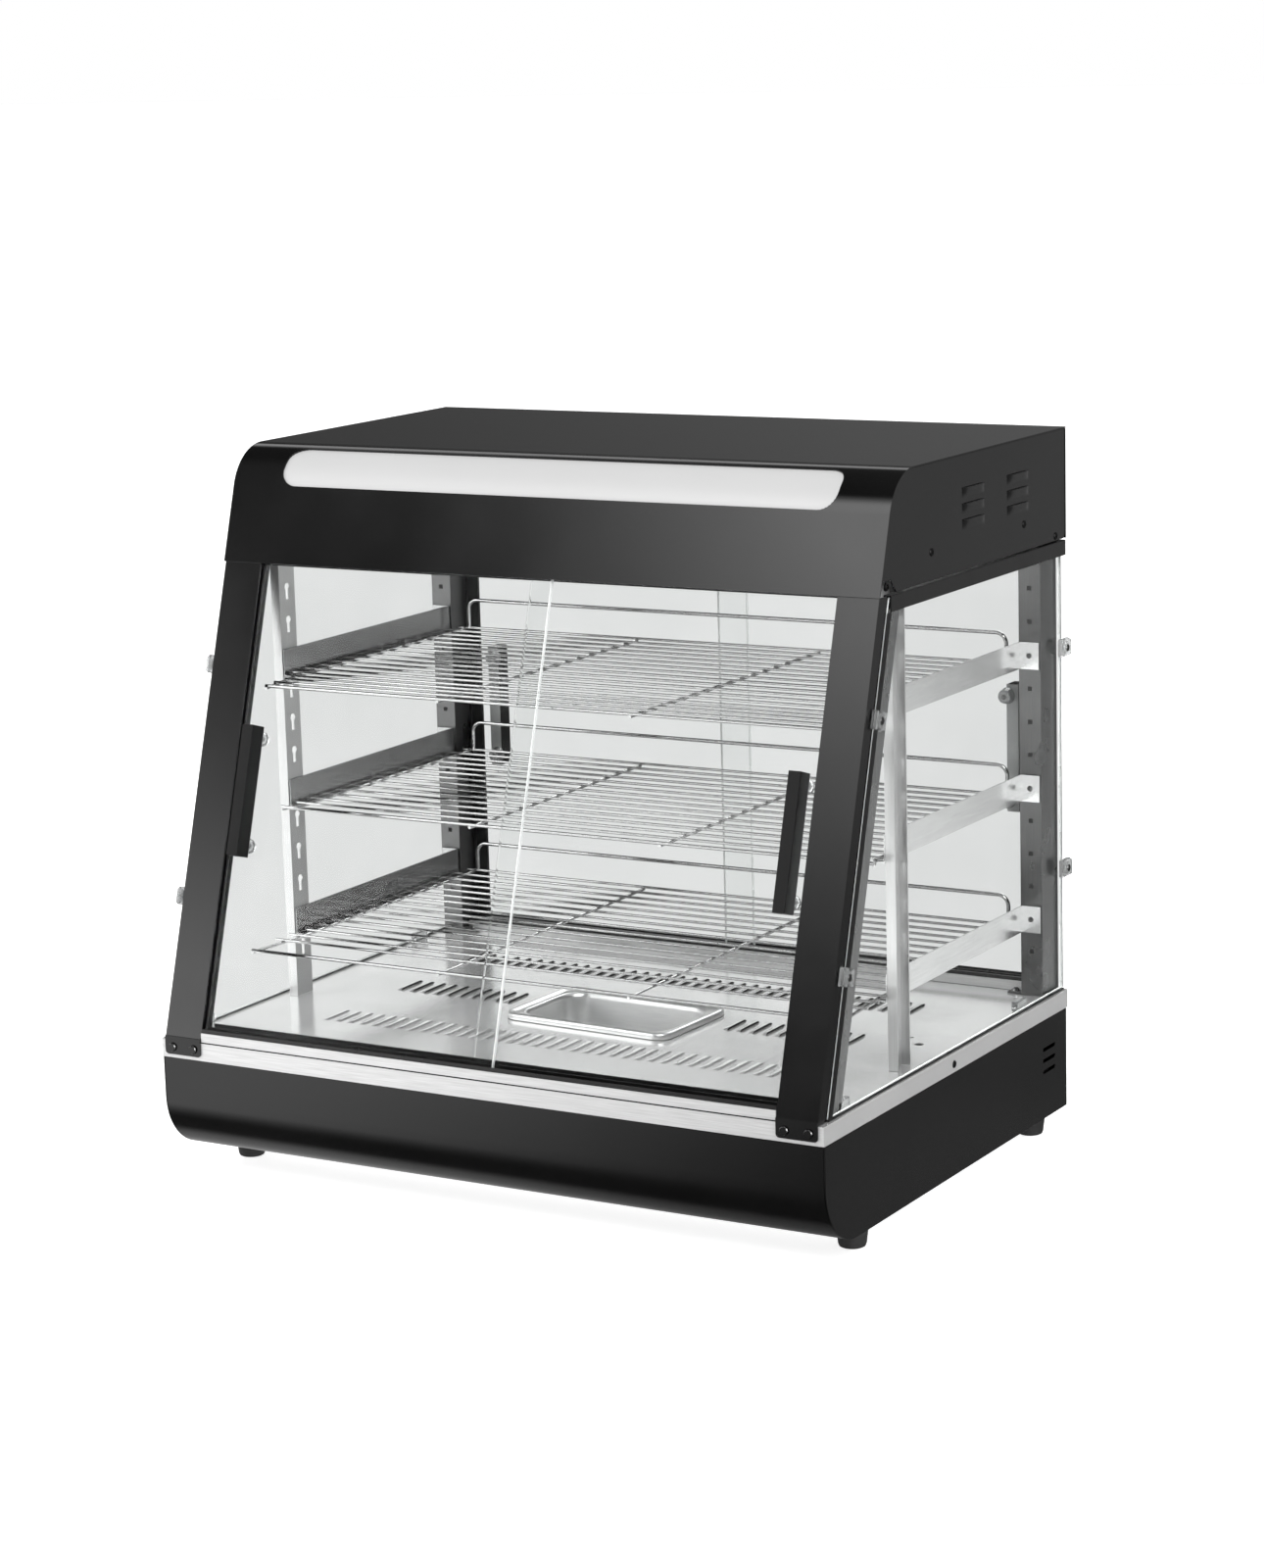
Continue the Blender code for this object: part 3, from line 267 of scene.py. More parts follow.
def prism(outline, axis, low, high):
    """A bmesh of an outline drawn out along an axis."""
    bm = bmesh.new()
    face = bm.faces.new([bm.verts.new(axis_point(axis, low, *p)) for p in outline])
    drawn = bmesh.ops.extrude_face_region(bm, geom=[face])["geom"]
    moved = [v for v in drawn if isinstance(v, bmesh.types.BMVert)]
    bmesh.ops.translate(bm, verts=moved, vec=axis_point(axis, high - low, 0, 0))
    bmesh.ops.recalc_face_normals(bm, faces=bm.faces)
    return bm


def rectangle(low, high):
    return [(low[0], low[1]), (high[0], low[1]), (high[0], high[1]), (low[0], high[1])]


def block(low, high):
    return prism(rectangle(low, high), Z, low[2], high[2])


def turned(profile, segments=24):
    """A bmesh turned about Z from (radius, height) points; the ends lie on the axis."""
    bm = bmesh.new()
    verts = [bm.verts.new((r, 0, h)) for r, h in profile]
    edges = [bm.edges.new(pair) for pair in zip(verts, verts[1:])]
    bmesh.ops.spin(
        bm, geom=verts + edges, cent=(0, 0, 0), axis=(0, 0, 1), angle=2 * pi, steps=segments, use_merge=True
    )
    bmesh.ops.remove_doubles(bm, verts=bm.verts, dist=1e-6)
    bmesh.ops.recalc_face_normals(bm, faces=bm.faces)
    return bm


def sheet(path, thickness):
    """Outline of a folded sheet whose outer side follows a path; the sheet lies to the path's right."""
    points = [Vector(p) for p in path]
    inner = []
    for i, point in enumerate(points):
        before = (point - points[max(i - 1, 0)]).normalized() if i else None
        after = (points[min(i + 1, len(points) - 1)] - point).normalized() if i < len(points) - 1 else None
        sides = [Vector((d.y, -d.x)) for d in (before, after) if d is not None]
        middle = sum(sides, Vector((0, 0))).normalized()
        inner.append(point + middle * thickness / max(middle.dot(sides[0]), 0.3))
    return [tuple(p) for p in points + inner[::-1]]


def arc(centre, radius, start, end, steps):
    """Points (a, b) on an arc; the angle is measured from -a towards +b."""
    turns = [start + (end - start) * k / steps for k in range(steps + 1)]
    return [(centre[0] - radius * cos(t), centre[1] + radius * sin(t)) for t in turns]


def rounded_rectangle(length, width, radius, steps=5):
    """Points (a, b) round a rectangle that is centred on zero."""
    a, b = length / 2 - radius, width / 2 - radius
    corners = ((a, b, 0), (-a, b, 1), (-a, -b, 2), (a, -b, 3))
    return [
        (x + radius * cos((q + k / steps) * pi / 2), y + radius * sin((q + k / steps) * pi / 2))
        for x, y, q in corners
        for k in range(steps + 1)
    ]


def as_mesh(name, bm):
    """Mesh data made of a bmesh, which is freed."""
    mesh = bpy.data.meshes.new(name)
    bm.to_mesh(mesh)
    bm.free()
    return mesh


def add_object(name, data):
    item = bpy.data.objects.new(name, data)
    bpy.context.scene.collection.objects.link(item)
    return item


def merge(target, *others):
    """Adds the other bmeshes to the first."""
    for other in others:
        mesh = as_mesh("part", other)
        target.from_mesh(mesh)
        bpy.data.meshes.remove(mesh)
    return target


def moved(bm, matrix):
    bmesh.ops.transform(bm, matrix=matrix, verts=bm.verts)
    return bm


def soften(bm, width, angle=40, segments=2):
    """Rounds every edge that turns by more than the angle."""
    sharp = [e for e in bm.edges if len(e.link_faces) == 2 and e.calc_face_angle() > radians(angle)]
    bmesh.ops.bevel(
        bm, geom=sharp, offset=width, segments=segments, profile=0.5, affect="EDGES", clamp_overlap=True
    )
    return bm


def carve(bm, *cutters):
    """The first bmesh without the space of the others."""
    objects = []
    for i, source in enumerate((bm, *cutters)):
        objects.append(add_object(f"carve_{i}", as_mesh(f"carve_{i}", source)))
    for other in objects[1:]:
        boolean = objects[0].modifiers.new("cut", "BOOLEAN")
        boolean.operation = "DIFFERENCE"
        boolean.object = other
    bpy.context.view_layer.update()
    depsgraph = bpy.context.evaluated_depsgraph_get()
    mesh = bpy.data.meshes.new_from_object(objects[0].evaluated_get(depsgraph))
    result = bmesh.new()
    result.from_mesh(mesh)
    bpy.data.meshes.remove(mesh)
    for item in objects:
        bpy.data.objects.remove(item)
    return result


def piece(name, bm, materials, body="case", space=CASE, stands_for=(), smooth=32):
    """Makes an object of a bmesh, in place, that rides on a body and stands for CAD nodes."""
    materials = materials if isinstance(materials, tuple) else (materials,)
    moved(bm, space)
    bm.normal_update()
    for face in bm.faces:
        face.smooth = True
    for edge in bm.edges:
        edge.smooth = edge.calc_face_angle(pi) < radians(smooth)
    return place(name, as_mesh(name, bm), materials, body, stands_for)


def place(name, data, materials, body, stands_for=()):
    """Makes an object of mesh or curve data that rides on a body and stands for CAD nodes."""
    for material in materials:
        data.materials.append(material)
    item = add_object(name, data)
    if item.type == "MESH":
        shading = item.modifiers.new("shading", "WEIGHTED_NORMAL")
        shading.keep_sharp = True
        shading.weight = 100
    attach(item, body)
    if stands_for:
        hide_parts(*stands_for)
    return item


def wires(name, runs, material, body, stands_for):
    """One piece of round wires; each run is (points, radius)."""
    curve = bpy.data.curves.new(name, "CURVE")
    curve.dimensions = "3D"
    curve.bevel_depth = 1.0
    curve.bevel_resolution = 3
    curve.use_fill_caps = True
    for points, radius in runs:
        spline = curve.splines.new("POLY")
        spline.points.add(len(points) - 1)
        for point, here in zip(spline.points, points):
            point.co = (*(CASE @ Vector(here)), 1)
            point.radius = radius
    return place(name, curve, (material,), body, stands_for)


def rounded_path(points, radius, steps=6):
    """A path with an arc for each of its inner corners."""
    points = [Vector(p) for p in points]
    found = [points[0]]
    for before, corner, after in zip(points, points[1:], points[2:]):
        a, b = (before - corner).normalized(), (after - corner).normalized()
        half = a.angle(b) / 2
        reach = radius / tan(half)
        centre = corner + (a + b).normalized() * radius / sin(half)
        first, last = corner + a * reach - centre, corner + b * reach - centre
        for k in range(steps + 1):
            found.append(centre + first.lerp(last, k / steps).normalized() * radius)
    return found + [points[-1]]


def refine(node, material, bevel=0.0004, smooth=32):
    """A CAD node again, with its edges rounded and its own finish."""
    bm = bmesh.new()
    bm.from_mesh(frame["nodes"][node].data)
    bmesh.ops.remove_doubles(bm, verts=bm.verts, dist=2e-6)
    bmesh.ops.dissolve_limit(bm, angle_limit=radians(0.5), verts=bm.verts, edges=bm.edges)
    bmesh.ops.recalc_face_normals(bm, faces=bm.faces)
    if bevel:
        soften(bm, bevel)
    return piece(f"{node}_finish", bm, material, BODY_OF[node], Matrix(), (node,), smooth)


def screw_head(radius, height):
    """A pan head with a cross recess, its axis along +Z and its seat at z = 0."""
    dome = [(radius * 0.45, height * 0.96), (radius * 0.86, height * 0.62)]
    head = turned([(0, height), *dome, (radius, 0), (0, 0)], 20)
    arm, slot = radius * 0.62, radius * 0.16
    cuts = [block((-a, -b, height * 0.45), (a, b, height * 2)) for a, b in ((arm, slot), (slot, arm))]
    return carve(head, *cuts)


TURN_TO = {
    "+X": Matrix.Rotation(pi / 2, 4, "Y"),
    "-X": Matrix.Rotation(-pi / 2, 4, "Y"),
    "+Y": Matrix.Rotation(-pi / 2, 4, "X"),
    "-Y": Matrix.Rotation(pi / 2, 4, "X"),
    "+Z": Matrix(),
}


def screws(name, seats, facing, radius, height, material):
    """A set of screw heads that face one way, each with its cross turned a little further."""
    heads = bmesh.new()
    mesh = as_mesh("head", screw_head(radius, height))
    first_turn, next_turn = 0.5, 0.7
    for i, seat in enumerate(seats):
        one = bmesh.new()
        one.from_mesh(mesh)
        spin = Matrix.Rotation(first_turn + next_turn * i, 4, "Z")
        merge(heads, moved(one, Matrix.Translation(seat) @ TURN_TO[facing] @ spin))
    bpy.data.meshes.remove(mesh)
    return piece(name, heads, material)


def louvre(length, width, height, steps=12, across=5):
    """A pressed louvre along Y, closed and sloping on its -X side, with a slit on its +X side.

    The slit is in the second material.
    """
    lift = 0.00001
    bm = bmesh.new()
    rows = []
    for i in range(steps + 1):
        u = 2 * i / steps - 1
        reach = (1 - abs(u) ** 6) ** 0.5
        row = []
        for k in range(across + 1):
            v = k / across
            rise = height * reach * sin(v * pi / 2) ** 1.3
            row.append(bm.verts.new((width * (v - 0.5), u * length / 2, 2 * lift + rise)))
        foot = bm.verts.new((width * 0.5 + lift, u * length / 2, lift))
        rows.append(row + [foot])
    for a, b in zip(rows, rows[1:]):
        for k in range(across + 1):
            face = bm.faces.new((a[k], a[k + 1], b[k + 1], b[k]))
            face.material_index = 1 if k == across else 0
    bmesh.ops.remove_doubles(bm, verts=bm.verts, dist=1e-6)
    return bm


def louvres(name, places, size, materials):
    found = bmesh.new()
    for matrix in places:
        merge(found, moved(louvre(*size), matrix))
    return piece(name, found, materials, smooth=50)


def pane(name, outline, axis, low, body, space, stands_for, edge=PANE_EDGE, sealed=0):
    """A glass pane whose ground edges have a finish of their own; the edge towards sealed * X is black."""
    bm = soften(prism(outline, axis, low, low + GLASS), 0.0005, segments=1)
    bm.normal_update()
    for face in bm.faces:
        if abs(face.normal[axis]) > 0.99:
            face.material_index = 0
        elif face.normal.x * sealed > 0.5:
            face.material_index = 2
        else:
            face.material_index = 1
    return piece(name, bm, (PANE, edge, SEAL), body, space, stands_for)


# ---- base -----------------------------------------------------------------------------------------
def nose(inset=0.0, steps=20):
    """The base's rounded front, from its top edge to its underside, as (y, z)."""
    centre = (BASE_FRONT + NOSE_R, BASE_LOW + NOSE_R)
    return [(BASE_FRONT + inset, BASE_TOP)] + arc(centre, NOSE_R - inset, 0, -pi / 2, steps)


def make_base():
    inner = HALF_W - SHEET - GAP
    seam_y = -0.150
    path = (nose() + [(seam_y, BASE_LOW)])[::-1]
    front = soften(prism(sheet(path, SHEET), X, -inner, inner), EDGE)
    piece("base_front_finish", front, PAINT, stands_for=("base_front_panel",))
    air_slot = rounded_rectangle(0.026, 0.0034, 0.0012, 3)
    slot_y, slot_heights, past = 0.1990, (0.0655, 0.0757, 0.0860), 0.01
    for side, sign in SIDES:
        outer = sign * HALF_W
        low, high = sorted((outer, outer - sign * SHEET))
        panel = prism(nose() + [(BASE_REAR, BASE_LOW), (BASE_REAR, BASE_TOP)], X, low, high)
        slots = [
            moved(prism(air_slot, X, low - past, high + past), Matrix.Translation((0, slot_y, z)))
            for z in slot_heights
        ]
        panel = soften(carve(panel, *slots), 0.0004)
        piece(f"base_side_{side}_finish", panel, PAINT, stands_for=(f"base_side_panel_{side}",))
        screws(f"rim_screw_{side}", [(outer, 0.001, 0.1206)], OUTWARD[sign], SCREW_R, 0.0012, GRIP)
    refine("base_rear_panel", PAINT)
    refine("base_bottom_plate", STEEL_X, 0)
    # a dark sheet inside, painted shade that stands in for the dark space behind the air slots, so that no
    # light shows through them
    piece("vent_painted_shade", block((-0.322, 0.175, 0.060), (0.322, 0.222, 0.0605)), PAINTED_SHADE_BLACK)
    make_feet()


def make_feet():
    for end in ("front", "rear"):
        for side, _ in SIDES:
            node = f"foot_{end}_{side}"
            low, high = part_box(node)
            middle, height = (low + high) / 2, high.z - low.z
            profile = [
                (0, height), (0.0145, height), (0.0145, height * 0.86), (0.0139, height * 0.82),
                (0.0120, height * 0.12), (0.0112, height * 0.03), (0.0100, 0), (0.0046, 0),
                (0.0042, 0.0030), (0, 0.0030),
            ]
            where = Matrix.Translation((middle.x, middle.y, low.z))
            piece(f"{node}_finish", turned(profile, 28), RUBBER, "case", where, (node,))


def make_floor():
    tray = prism(rounded_rectangle(2 * HALF_W, 2 * RIM_Y, 0.0012, 2), Z, RIM_LOW, FLOOR_Z)
    hollow = rounded_rectangle(2 * (HALF_W - SHEET), 2 * (RIM_Y - SHEET), 0.0004, 1)
    inner = prism(hollow, Z, RIM_LOW - 0.01, FLOOR_Z - SHEET)
    hole = prism(rounded_rectangle(0.156, 0.094, 0.020, 8), Z, 0.10, 0.15)
    moved(hole, Matrix.Translation((PAN_X, PAN_Y, 0)))
    drills, past = [], 0.02
    for x, y, r in ((0.2723, 0.0336, 0.0022), (0.2880, 0.0160, 0.0042)):
        drill = turned([(0, past), (r, past), (r, -past), (0, -past)], 16)
        drills.append(moved(drill, Matrix.Translation((x, y, FLOOR_Z))))
    tray = soften(carve(tray, inner, hole, *drills), 0.0010, 60, 3)
    tray.normal_update()
    for face in tray.faces:
        face.material_index = 0 if face.normal.z > 0.9 else 1
    piece("floor_tray_finish", tray, (STEEL_X, STEEL_RIM), stands_for=("floor_tray",))
    inner_rows = ((0, 0.1195, 37), (-0.1715, 0.0055, 10), (0.1715, 0.0055, 10))
    make_floor_louvres("front", ((0, -0.111, 37),), 0.0012, STEEL_Y)
    # the inner rows' slits are painted shade
    make_floor_louvres("inner", inner_rows, 0.0020, PAINTED_SHADE_BLACK)
    # a dark sheet under the two drilled holes: painted shade for the dark space below them
    shade = block((0.2650, 0.0080, FLOOR_Z - 0.0030), (0.2960, 0.0400, FLOOR_Z - 0.0025))
    piece("floor_hole_painted_shade", shade, PAINTED_SHADE_BLACK)


def make_floor_louvres(name, rows, height, slit):
    """Rows of louvres; each row is (middle x, y, count)."""
    pitch, length, width = 0.0129, 0.0370, 0.0062
    places = [
        Matrix.Translation((middle + (k - (count - 1) / 2) * pitch, y, FLOOR_Z))
        for middle, y, count in rows
        for k in range(count)
    ]
    louvres(f"floor_louvres_{name}", places, (length, width, height), (STEEL_X, slit))


def make_pan():
    """Rolled rim, flat flange and drawn basin, lofted through rings of rounded rectangles."""
    top = 0.0056
    rim, basin = (0.1715, 0.1075), (0.1540, 0.0910)
    # each ring is how much smaller it is than the rim or basin, its corner radius, and its height
    rim_rings = (
        (0.0, 0.0130, 0.0006), (-0.0004, 0.0132, 0.0030), (0.0006, 0.0127, 0.0045),
        (0.0024, 0.0118, 0.0053), (0.0046, 0.0112, top), (0.0068, 0.0110, top - 0.0006),
        (0.0082, 0.0118, top - 0.0020),
    )
    basin_rings = (
        (-0.0025, 0.0220, top - 0.0020), (0.001, 0.0215, top - 0.0025), (0.003, 0.0210, top - 0.0060),
        (0.014, 0.0170, top - 0.0400), (0.018, 0.0160, top - 0.0475), (0.028, 0.0120, top - 0.0518),
        (0.040, 0.0080, top - 0.0520),
    )
    bm = bmesh.new()
    loops = []
    for (length, width), rings in ((rim, rim_rings), (basin, basin_rings)):
        for less, radius, height in rings:
            outline = rounded_rectangle(length - less, width - less, radius, 8)
            loops.append([bm.verts.new((x, y, height)) for x, y in outline])
    for outer, inner in zip(loops, loops[1:]):
        for k in range(len(outer)):
            bm.faces.new((outer[k - 1], outer[k], inner[k], inner[k - 1]))
    bm.faces.new(loops[-1])
    bmesh.ops.recalc_face_normals(bm, faces=bm.faces)
    bmesh.ops.solidify(bm, geom=bm.faces, thickness=-0.0007)
    place_at = CASE @ Matrix.Translation((PAN_X, PAN_Y, FLOOR_Z)) @ Matrix.Rotation(PAN_TURN, 4, "Z")
    piece("water_pan_finish", bm, STEEL_PAN, "water_pan", place_at, ("water_pan",), 60)


# ---- hood -----------------------------------------------------------------------------------------
def hood_section(inset=0.0, steps=40):
    edge = (slope_y(FRONT_Z, inset), FRONT_Z)
    return [edge] + arc(HOOD_CENTRE, HOOD_R - inset, SLANT, pi / 2, steps) + [(HOOD_REAR, HOOD_TOP - inset)]


def sign_outline(length, start, end, corner, steps=8):
    """The rounded window on the hood's curve, as (x, angle) points."""
    rise = HOOD_R * (end - start)
    flat = rounded_rectangle(length, rise, corner, steps)
    return [(x, (start + end) / 2 + s / HOOD_R) for x, s in flat]


def curved_cutter(outline):
    """A solid through the hood's curve, from an outline of (x, angle) points."""
    bm = bmesh.new()
    rings = []
    y, z = HOOD_CENTRE
    for radius in (HOOD_R * 0.6, HOOD_R * 1.5):
        rings.append([bm.verts.new((x, y - radius * cos(t), z + radius * sin(t))) for x, t in outline])
    for k in range(len(outline)):
        bm.faces.new((rings[0][k - 1], rings[0][k], rings[1][k], rings[1][k - 1]))
    for ring in rings:
        bm.faces.new(ring)
    bmesh.ops.recalc_face_normals(bm, faces=bm.faces)
    return bm


def make_hood():
    sign_length, sign_corner, diffuser_half_w = 0.552, 0.0165, 0.288
    shell = prism(sheet(hood_section(), SHEET), X, -HOOD_HALF_W, HOOD_HALF_W)
    window = curved_cutter(sign_outline(sign_length, radians(18), radians(69), sign_corner))
    shell = soften(carve(shell, window), 0.0005, 50, 3)
    piece("hood_shell_finish", shell, PAINT, stands_for=("hood_shell",))

    lens = arc(HOOD_CENTRE, HOOD_R - SHEET - 0.0004, radians(10), radians(77), 24)
    diffuser = soften(prism(sheet(lens, 0.0020), X, -diffuser_half_w, diffuser_half_w), EDGE)
    piece("sign_diffuser_finish", diffuser, SIGN_PAINTED_GLOW, stands_for=("sign_diffuser",))

    outline = hood_side_outline(SHEET + GAP)
    for side, sign in SIDES:
        make_hood_side(side, sign, outline)
    refine("hood_rear_panel", PAINT)
    seats = [(x, HOOD_REAR, z) for x in (-0.300, 0.0, 0.300) for z in (0.556, 0.626)]
    screws("hood_rear_screws", seats, "+Y", SCREW_R, 0.0016, BLACK)
    refine("hood_ceiling", STEEL_X, 0.0002)
    refine("lamp_fixture", WHITE)
    refine("lamp_tube", LAMP, 0)


def hood_side_outline(inset):
    """A hood side inside the wrap, as (y, z), with a notch at its lower front corner."""
    rear, notch_top = HOOD_REAR - inset, HOOD_LOW + 0.0115
    lower_rear = [(rear, HOOD_TOP - inset), (rear, HOOD_LOW + 0.0040), (rear - 0.0035, HOOD_LOW)]
    notch = [(-0.0880, HOOD_LOW), (-0.0985, notch_top), (slope_y(notch_top, inset), notch_top)]
    return hood_section(inset)[1:-1] + lower_rear + notch


def make_hood_side(side, sign, outline):
    outer = sign * (HOOD_HALF_W - 0.0006)
    low, high = sorted((outer, outer - sign * SHEET))
    plate = soften(prism(outline, X, low, high), EDGE)
    piece(f"hood_side_{side}_finish", plate, PAINT, stands_for=(f"hood_side_{side}",))
    # the slit of each louvre runs along its upper edge; its face is painted shade
    turn = Matrix.Rotation(sign * pi / 2, 4, "Y") @ Matrix.Rotation(pi if sign > 0 else 0, 4, "Z")
    columns, heights, size = (0.0600, 0.1500), (0.6065, 0.5930, 0.5795), (0.0440, 0.0080, 0.0024)
    places = [Matrix.Translation((outer, y, z)) @ turn for y in columns for z in heights]
    louvres(f"hood_louvres_{side}", places, size, (PAINT, PAINTED_SHADE_BLACK))
    seats = [(outer, y, z) for y, z in ((-0.0213, 0.5645), (0.1632, 0.5642), (0.2298, 0.5452))]
    screws(f"hood_screws_{side}", seats, OUTWARD[sign], 0.0036, 0.0012, GRIP)
    seats = [(outer - sign * 0.004, -0.1000, 0.5465)]
    screws(f"hood_corner_screw_{side}", seats, OUTWARD[sign], 0.0036, 0.0025, BLACK)


# ---- front ----------------------------------------------------------------------------------------
def handle(name, length, body, space, stands_for):
    """A channel grip along Z, open towards the glass at y = 0, and its pad on the glass."""
    outer, deep, wall = 0.00575, 0.0170, 0.0016
    inner, floor = outer - wall, wall - deep
    outline = [(-outer, 0), (-outer, -deep), (outer, -deep), (outer, 0)]
    outline += [(inner, 0), (inner, floor), (-inner, floor), (-inner, 0)]
    bm = soften(prism(outline, Z, -length / 2, length / 2), 0.0005)
    piece(name, bm, GRIP, body, space, stands_for)
    pad = block((-outer, 0.00002, -length / 2), (outer, 0.00018, length / 2))
    piece(f"{name}_pad", pad, PAD, body, space)


def button(name, body, space):
    """Clear cap behind the glass that holds a handle's screw; its seat is at y = 0."""
    height = 0.0075
    rounding = [(0.0046, height), (0.0060, 0.0066), (0.0074, 0.0012), (0.0076, 0)]
    cap = turned([(0, height), *rounding, (0, 0)], 20)
    piece(name, cap, CLIP, body, space @ TURN_TO["+Y"])
    core = moved(screw_head(0.0024, 0.0014), Matrix.Translation((0, 0, height + 0.0001)))
    piece(f"{name}_screw", core, SCREW, body, space @ TURN_TO["+Y"])


def make_front_post(side, sign):
    """The post with its foot screws, the strip behind it, and its seals on the side glass."""
    refine(f"front_post_{side}", PAINT_POST, 0.0005)
    post_inner, post_outer, inwards = 0.2868, 0.3250, 0.008
    foot_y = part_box(f"front_post_{side}")[0].y - SHIFT + 0.0012
    seats = [(sign * x, foot_y, 0.1235) for x in (post_inner + inwards, post_outer - inwards)]
    screws(f"post_screws_{side}", seats, "-Y", 0.0040, 0.0011, SCREW)
    # the angle strip is darkened by painted shade
    refine(f"front_angle_{side}", STEEL_DARK_WITH_PAINTED_SHADE, EDGE)
    low_z, high_z = FLOOR_Z + 0.0008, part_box(f"side_glass_channel_{side}")[0].z
    start, end = POST_END + 0.0004, POST_END + 0.0072
    seal = [
        (slope_y(low_z, start), low_z), (slope_y(low_z, end), low_z),
        (slope_y(high_z, end), high_z), (slope_y(high_z, start), high_z),
    ]
    for layer, (near, far) in (("outer", (0.0041, 0.0050)), ("inner", (-0.0008, -0.0001))):
        low, high = sorted((sign * (SIDE_GLASS_X + near), sign * (SIDE_GLASS_X + far)))
        piece(f"front_seal_{layer}_{side}", soften(prism(seal, X, low, high), EDGE), SEAL)


def make_front_door(side, sign):
    body = f"front_door_{side}"
    face = 0.0050 if side == "left" else 0.0145
    past_middle, reach, top = 0.013, 0.286, 0.0105
    grip_down, caps_down = -0.20275, (("top", -0.155), ("bottom", -0.2505))
    bottom = (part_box(f"{body}_glass")[0].z - FRONT_Z) / cos(SLANT) + (face + GLASS) * tan(SLANT)
    low, high = sorted((-sign * past_middle, sign * reach))
    edge = PANE_EDGE if side == "left" else PANE
    outline = rectangle((low, bottom), (high, top))
    pane(f"{body}_pane", outline, Y, face, body, SLOPE, (f"{body}_glass",), edge, sign)
    grip = SLOPE @ Matrix.Translation((sign * HANDLE_X, face - 0.0002, grip_down))
    handle(f"{body}_grip", 0.1164, body, grip, (f"{body}_handle",))
    for end, down in caps_down:
        seat = SLOPE @ Matrix.Translation((sign * HANDLE_X, face + GLASS, down))
        button(f"{body}_cap_{end}", body, seat)


def make_front():
    for side, sign in SIDES:
        make_front_post(side, sign)
    refine("front_sill", STEEL_RIM, EDGE)
    # painted shadow: a dark strip along the gap between the sill and the rim
    seam = block(
        (-DOORWAY_X, -RIM_Y - 0.0002, FLOOR_Z - 0.0003), (DOORWAY_X, -RIM_Y + 0.0010, FLOOR_Z + 0.0008)
    )
    piece("front_sill_seam_painted_shadow", seam, PAINTED_SHADE_BLACK)
    refine("front_lower_track", BLACK, EDGE)
    cover = block((-DOORWAY_X, -0.2178, FLOOR_Z + GAP), (DOORWAY_X, -0.2145, FLOOR_Z + 0.0085))
    piece("front_track_cover", soften(cover, EDGE), STEEL_RIM)
    refine("front_upper_track", BLACK, EDGE)
    for side, sign in SIDES:
        make_front_door(side, sign)


# ---- rear -----------------------------------------------------------------------------------------
def make_rear_door(side, sign):
    body = f"rear_door_{side}"
    about = Matrix.Rotation(pi, 4, "Z")
    low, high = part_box(f"{body}_glass")
    near, far = low.y - SHIFT, high.y - SHIFT
    outline = rectangle((low.x, low.z), (high.x, high.z))
    pane(f"{body}_pane", outline, Y, near, body, CASE, (f"{body}_glass",), sealed=sign)
    low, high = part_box(f"{body}_handle")
    middle = (low + high) / 2
    grip = CASE @ Matrix.Translation((middle.x, far + 0.0002, middle.z)) @ about
    handle(f"{body}_grip", 0.1165, body, grip, (f"{body}_handle",))
    for end, height in (("top", high.z - 0.0100), ("bottom", low.z + 0.0110)):
        seat = CASE @ Matrix.Translation((middle.x - sign * 0.0035, near, height)) @ about
        button(f"{body}_cap_{end}", body, seat)


def make_rear():
    for side, sign in SIDES:
        refine(f"rear_post_{side}", PAINT_GREY, EDGE)
        low, high = sorted((sign * DOORWAY_X, sign * 0.2980))
        seal = soften(block((low, 0.2362, 0.1430), (high, 0.2398, 0.5400)), 0.0004)
        piece(f"rear_seal_{side}", seal, SEAL)
        seats = [(sign * 0.2910, 0.2105, FLOOR_Z + 0.0018)]
        screws(f"rear_post_foot_{side}", seats, "+Z", 0.0036, 0.0032, CHROME)
    refine("rear_lower_track", BLACK, EDGE)
    cover = block((-0.2982, 0.2168, FLOOR_Z + GAP), (0.2982, 0.2176, FLOOR_Z + 0.0092))
    piece("rear_track_cover", soften(cover, 0.0002), STEEL_RIM)
    refine("rear_upper_track", BLACK, EDGE)
    for side, sign in SIDES:
        make_rear_door(side, sign)


# ---- inside ---------------------------------------------------------------------------------------
def make_inside():
    for side, sign in SIDES:
        refine(f"upright_{side}", STEEL_Z, 0.0002)
        for level in ("bottom", "middle", "top"):
            node = f"rail_{level}_{side}"
            # the left rails are darker than the right: painted shade
            refine(node, STEEL_Y if sign > 0 else STEEL_RAIL_PAINTED_SHADE, EDGE)
            low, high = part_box(node)
            seats = [(sign * 0.3095, 0.2028, (low.z + high.z) / 2)]
            screws(f"rail_screw_{level}_{side}", seats, "-Y", 0.0026, 0.0014, SCREW)
        make_side_glass(side, sign)
        make_clips(side, sign)


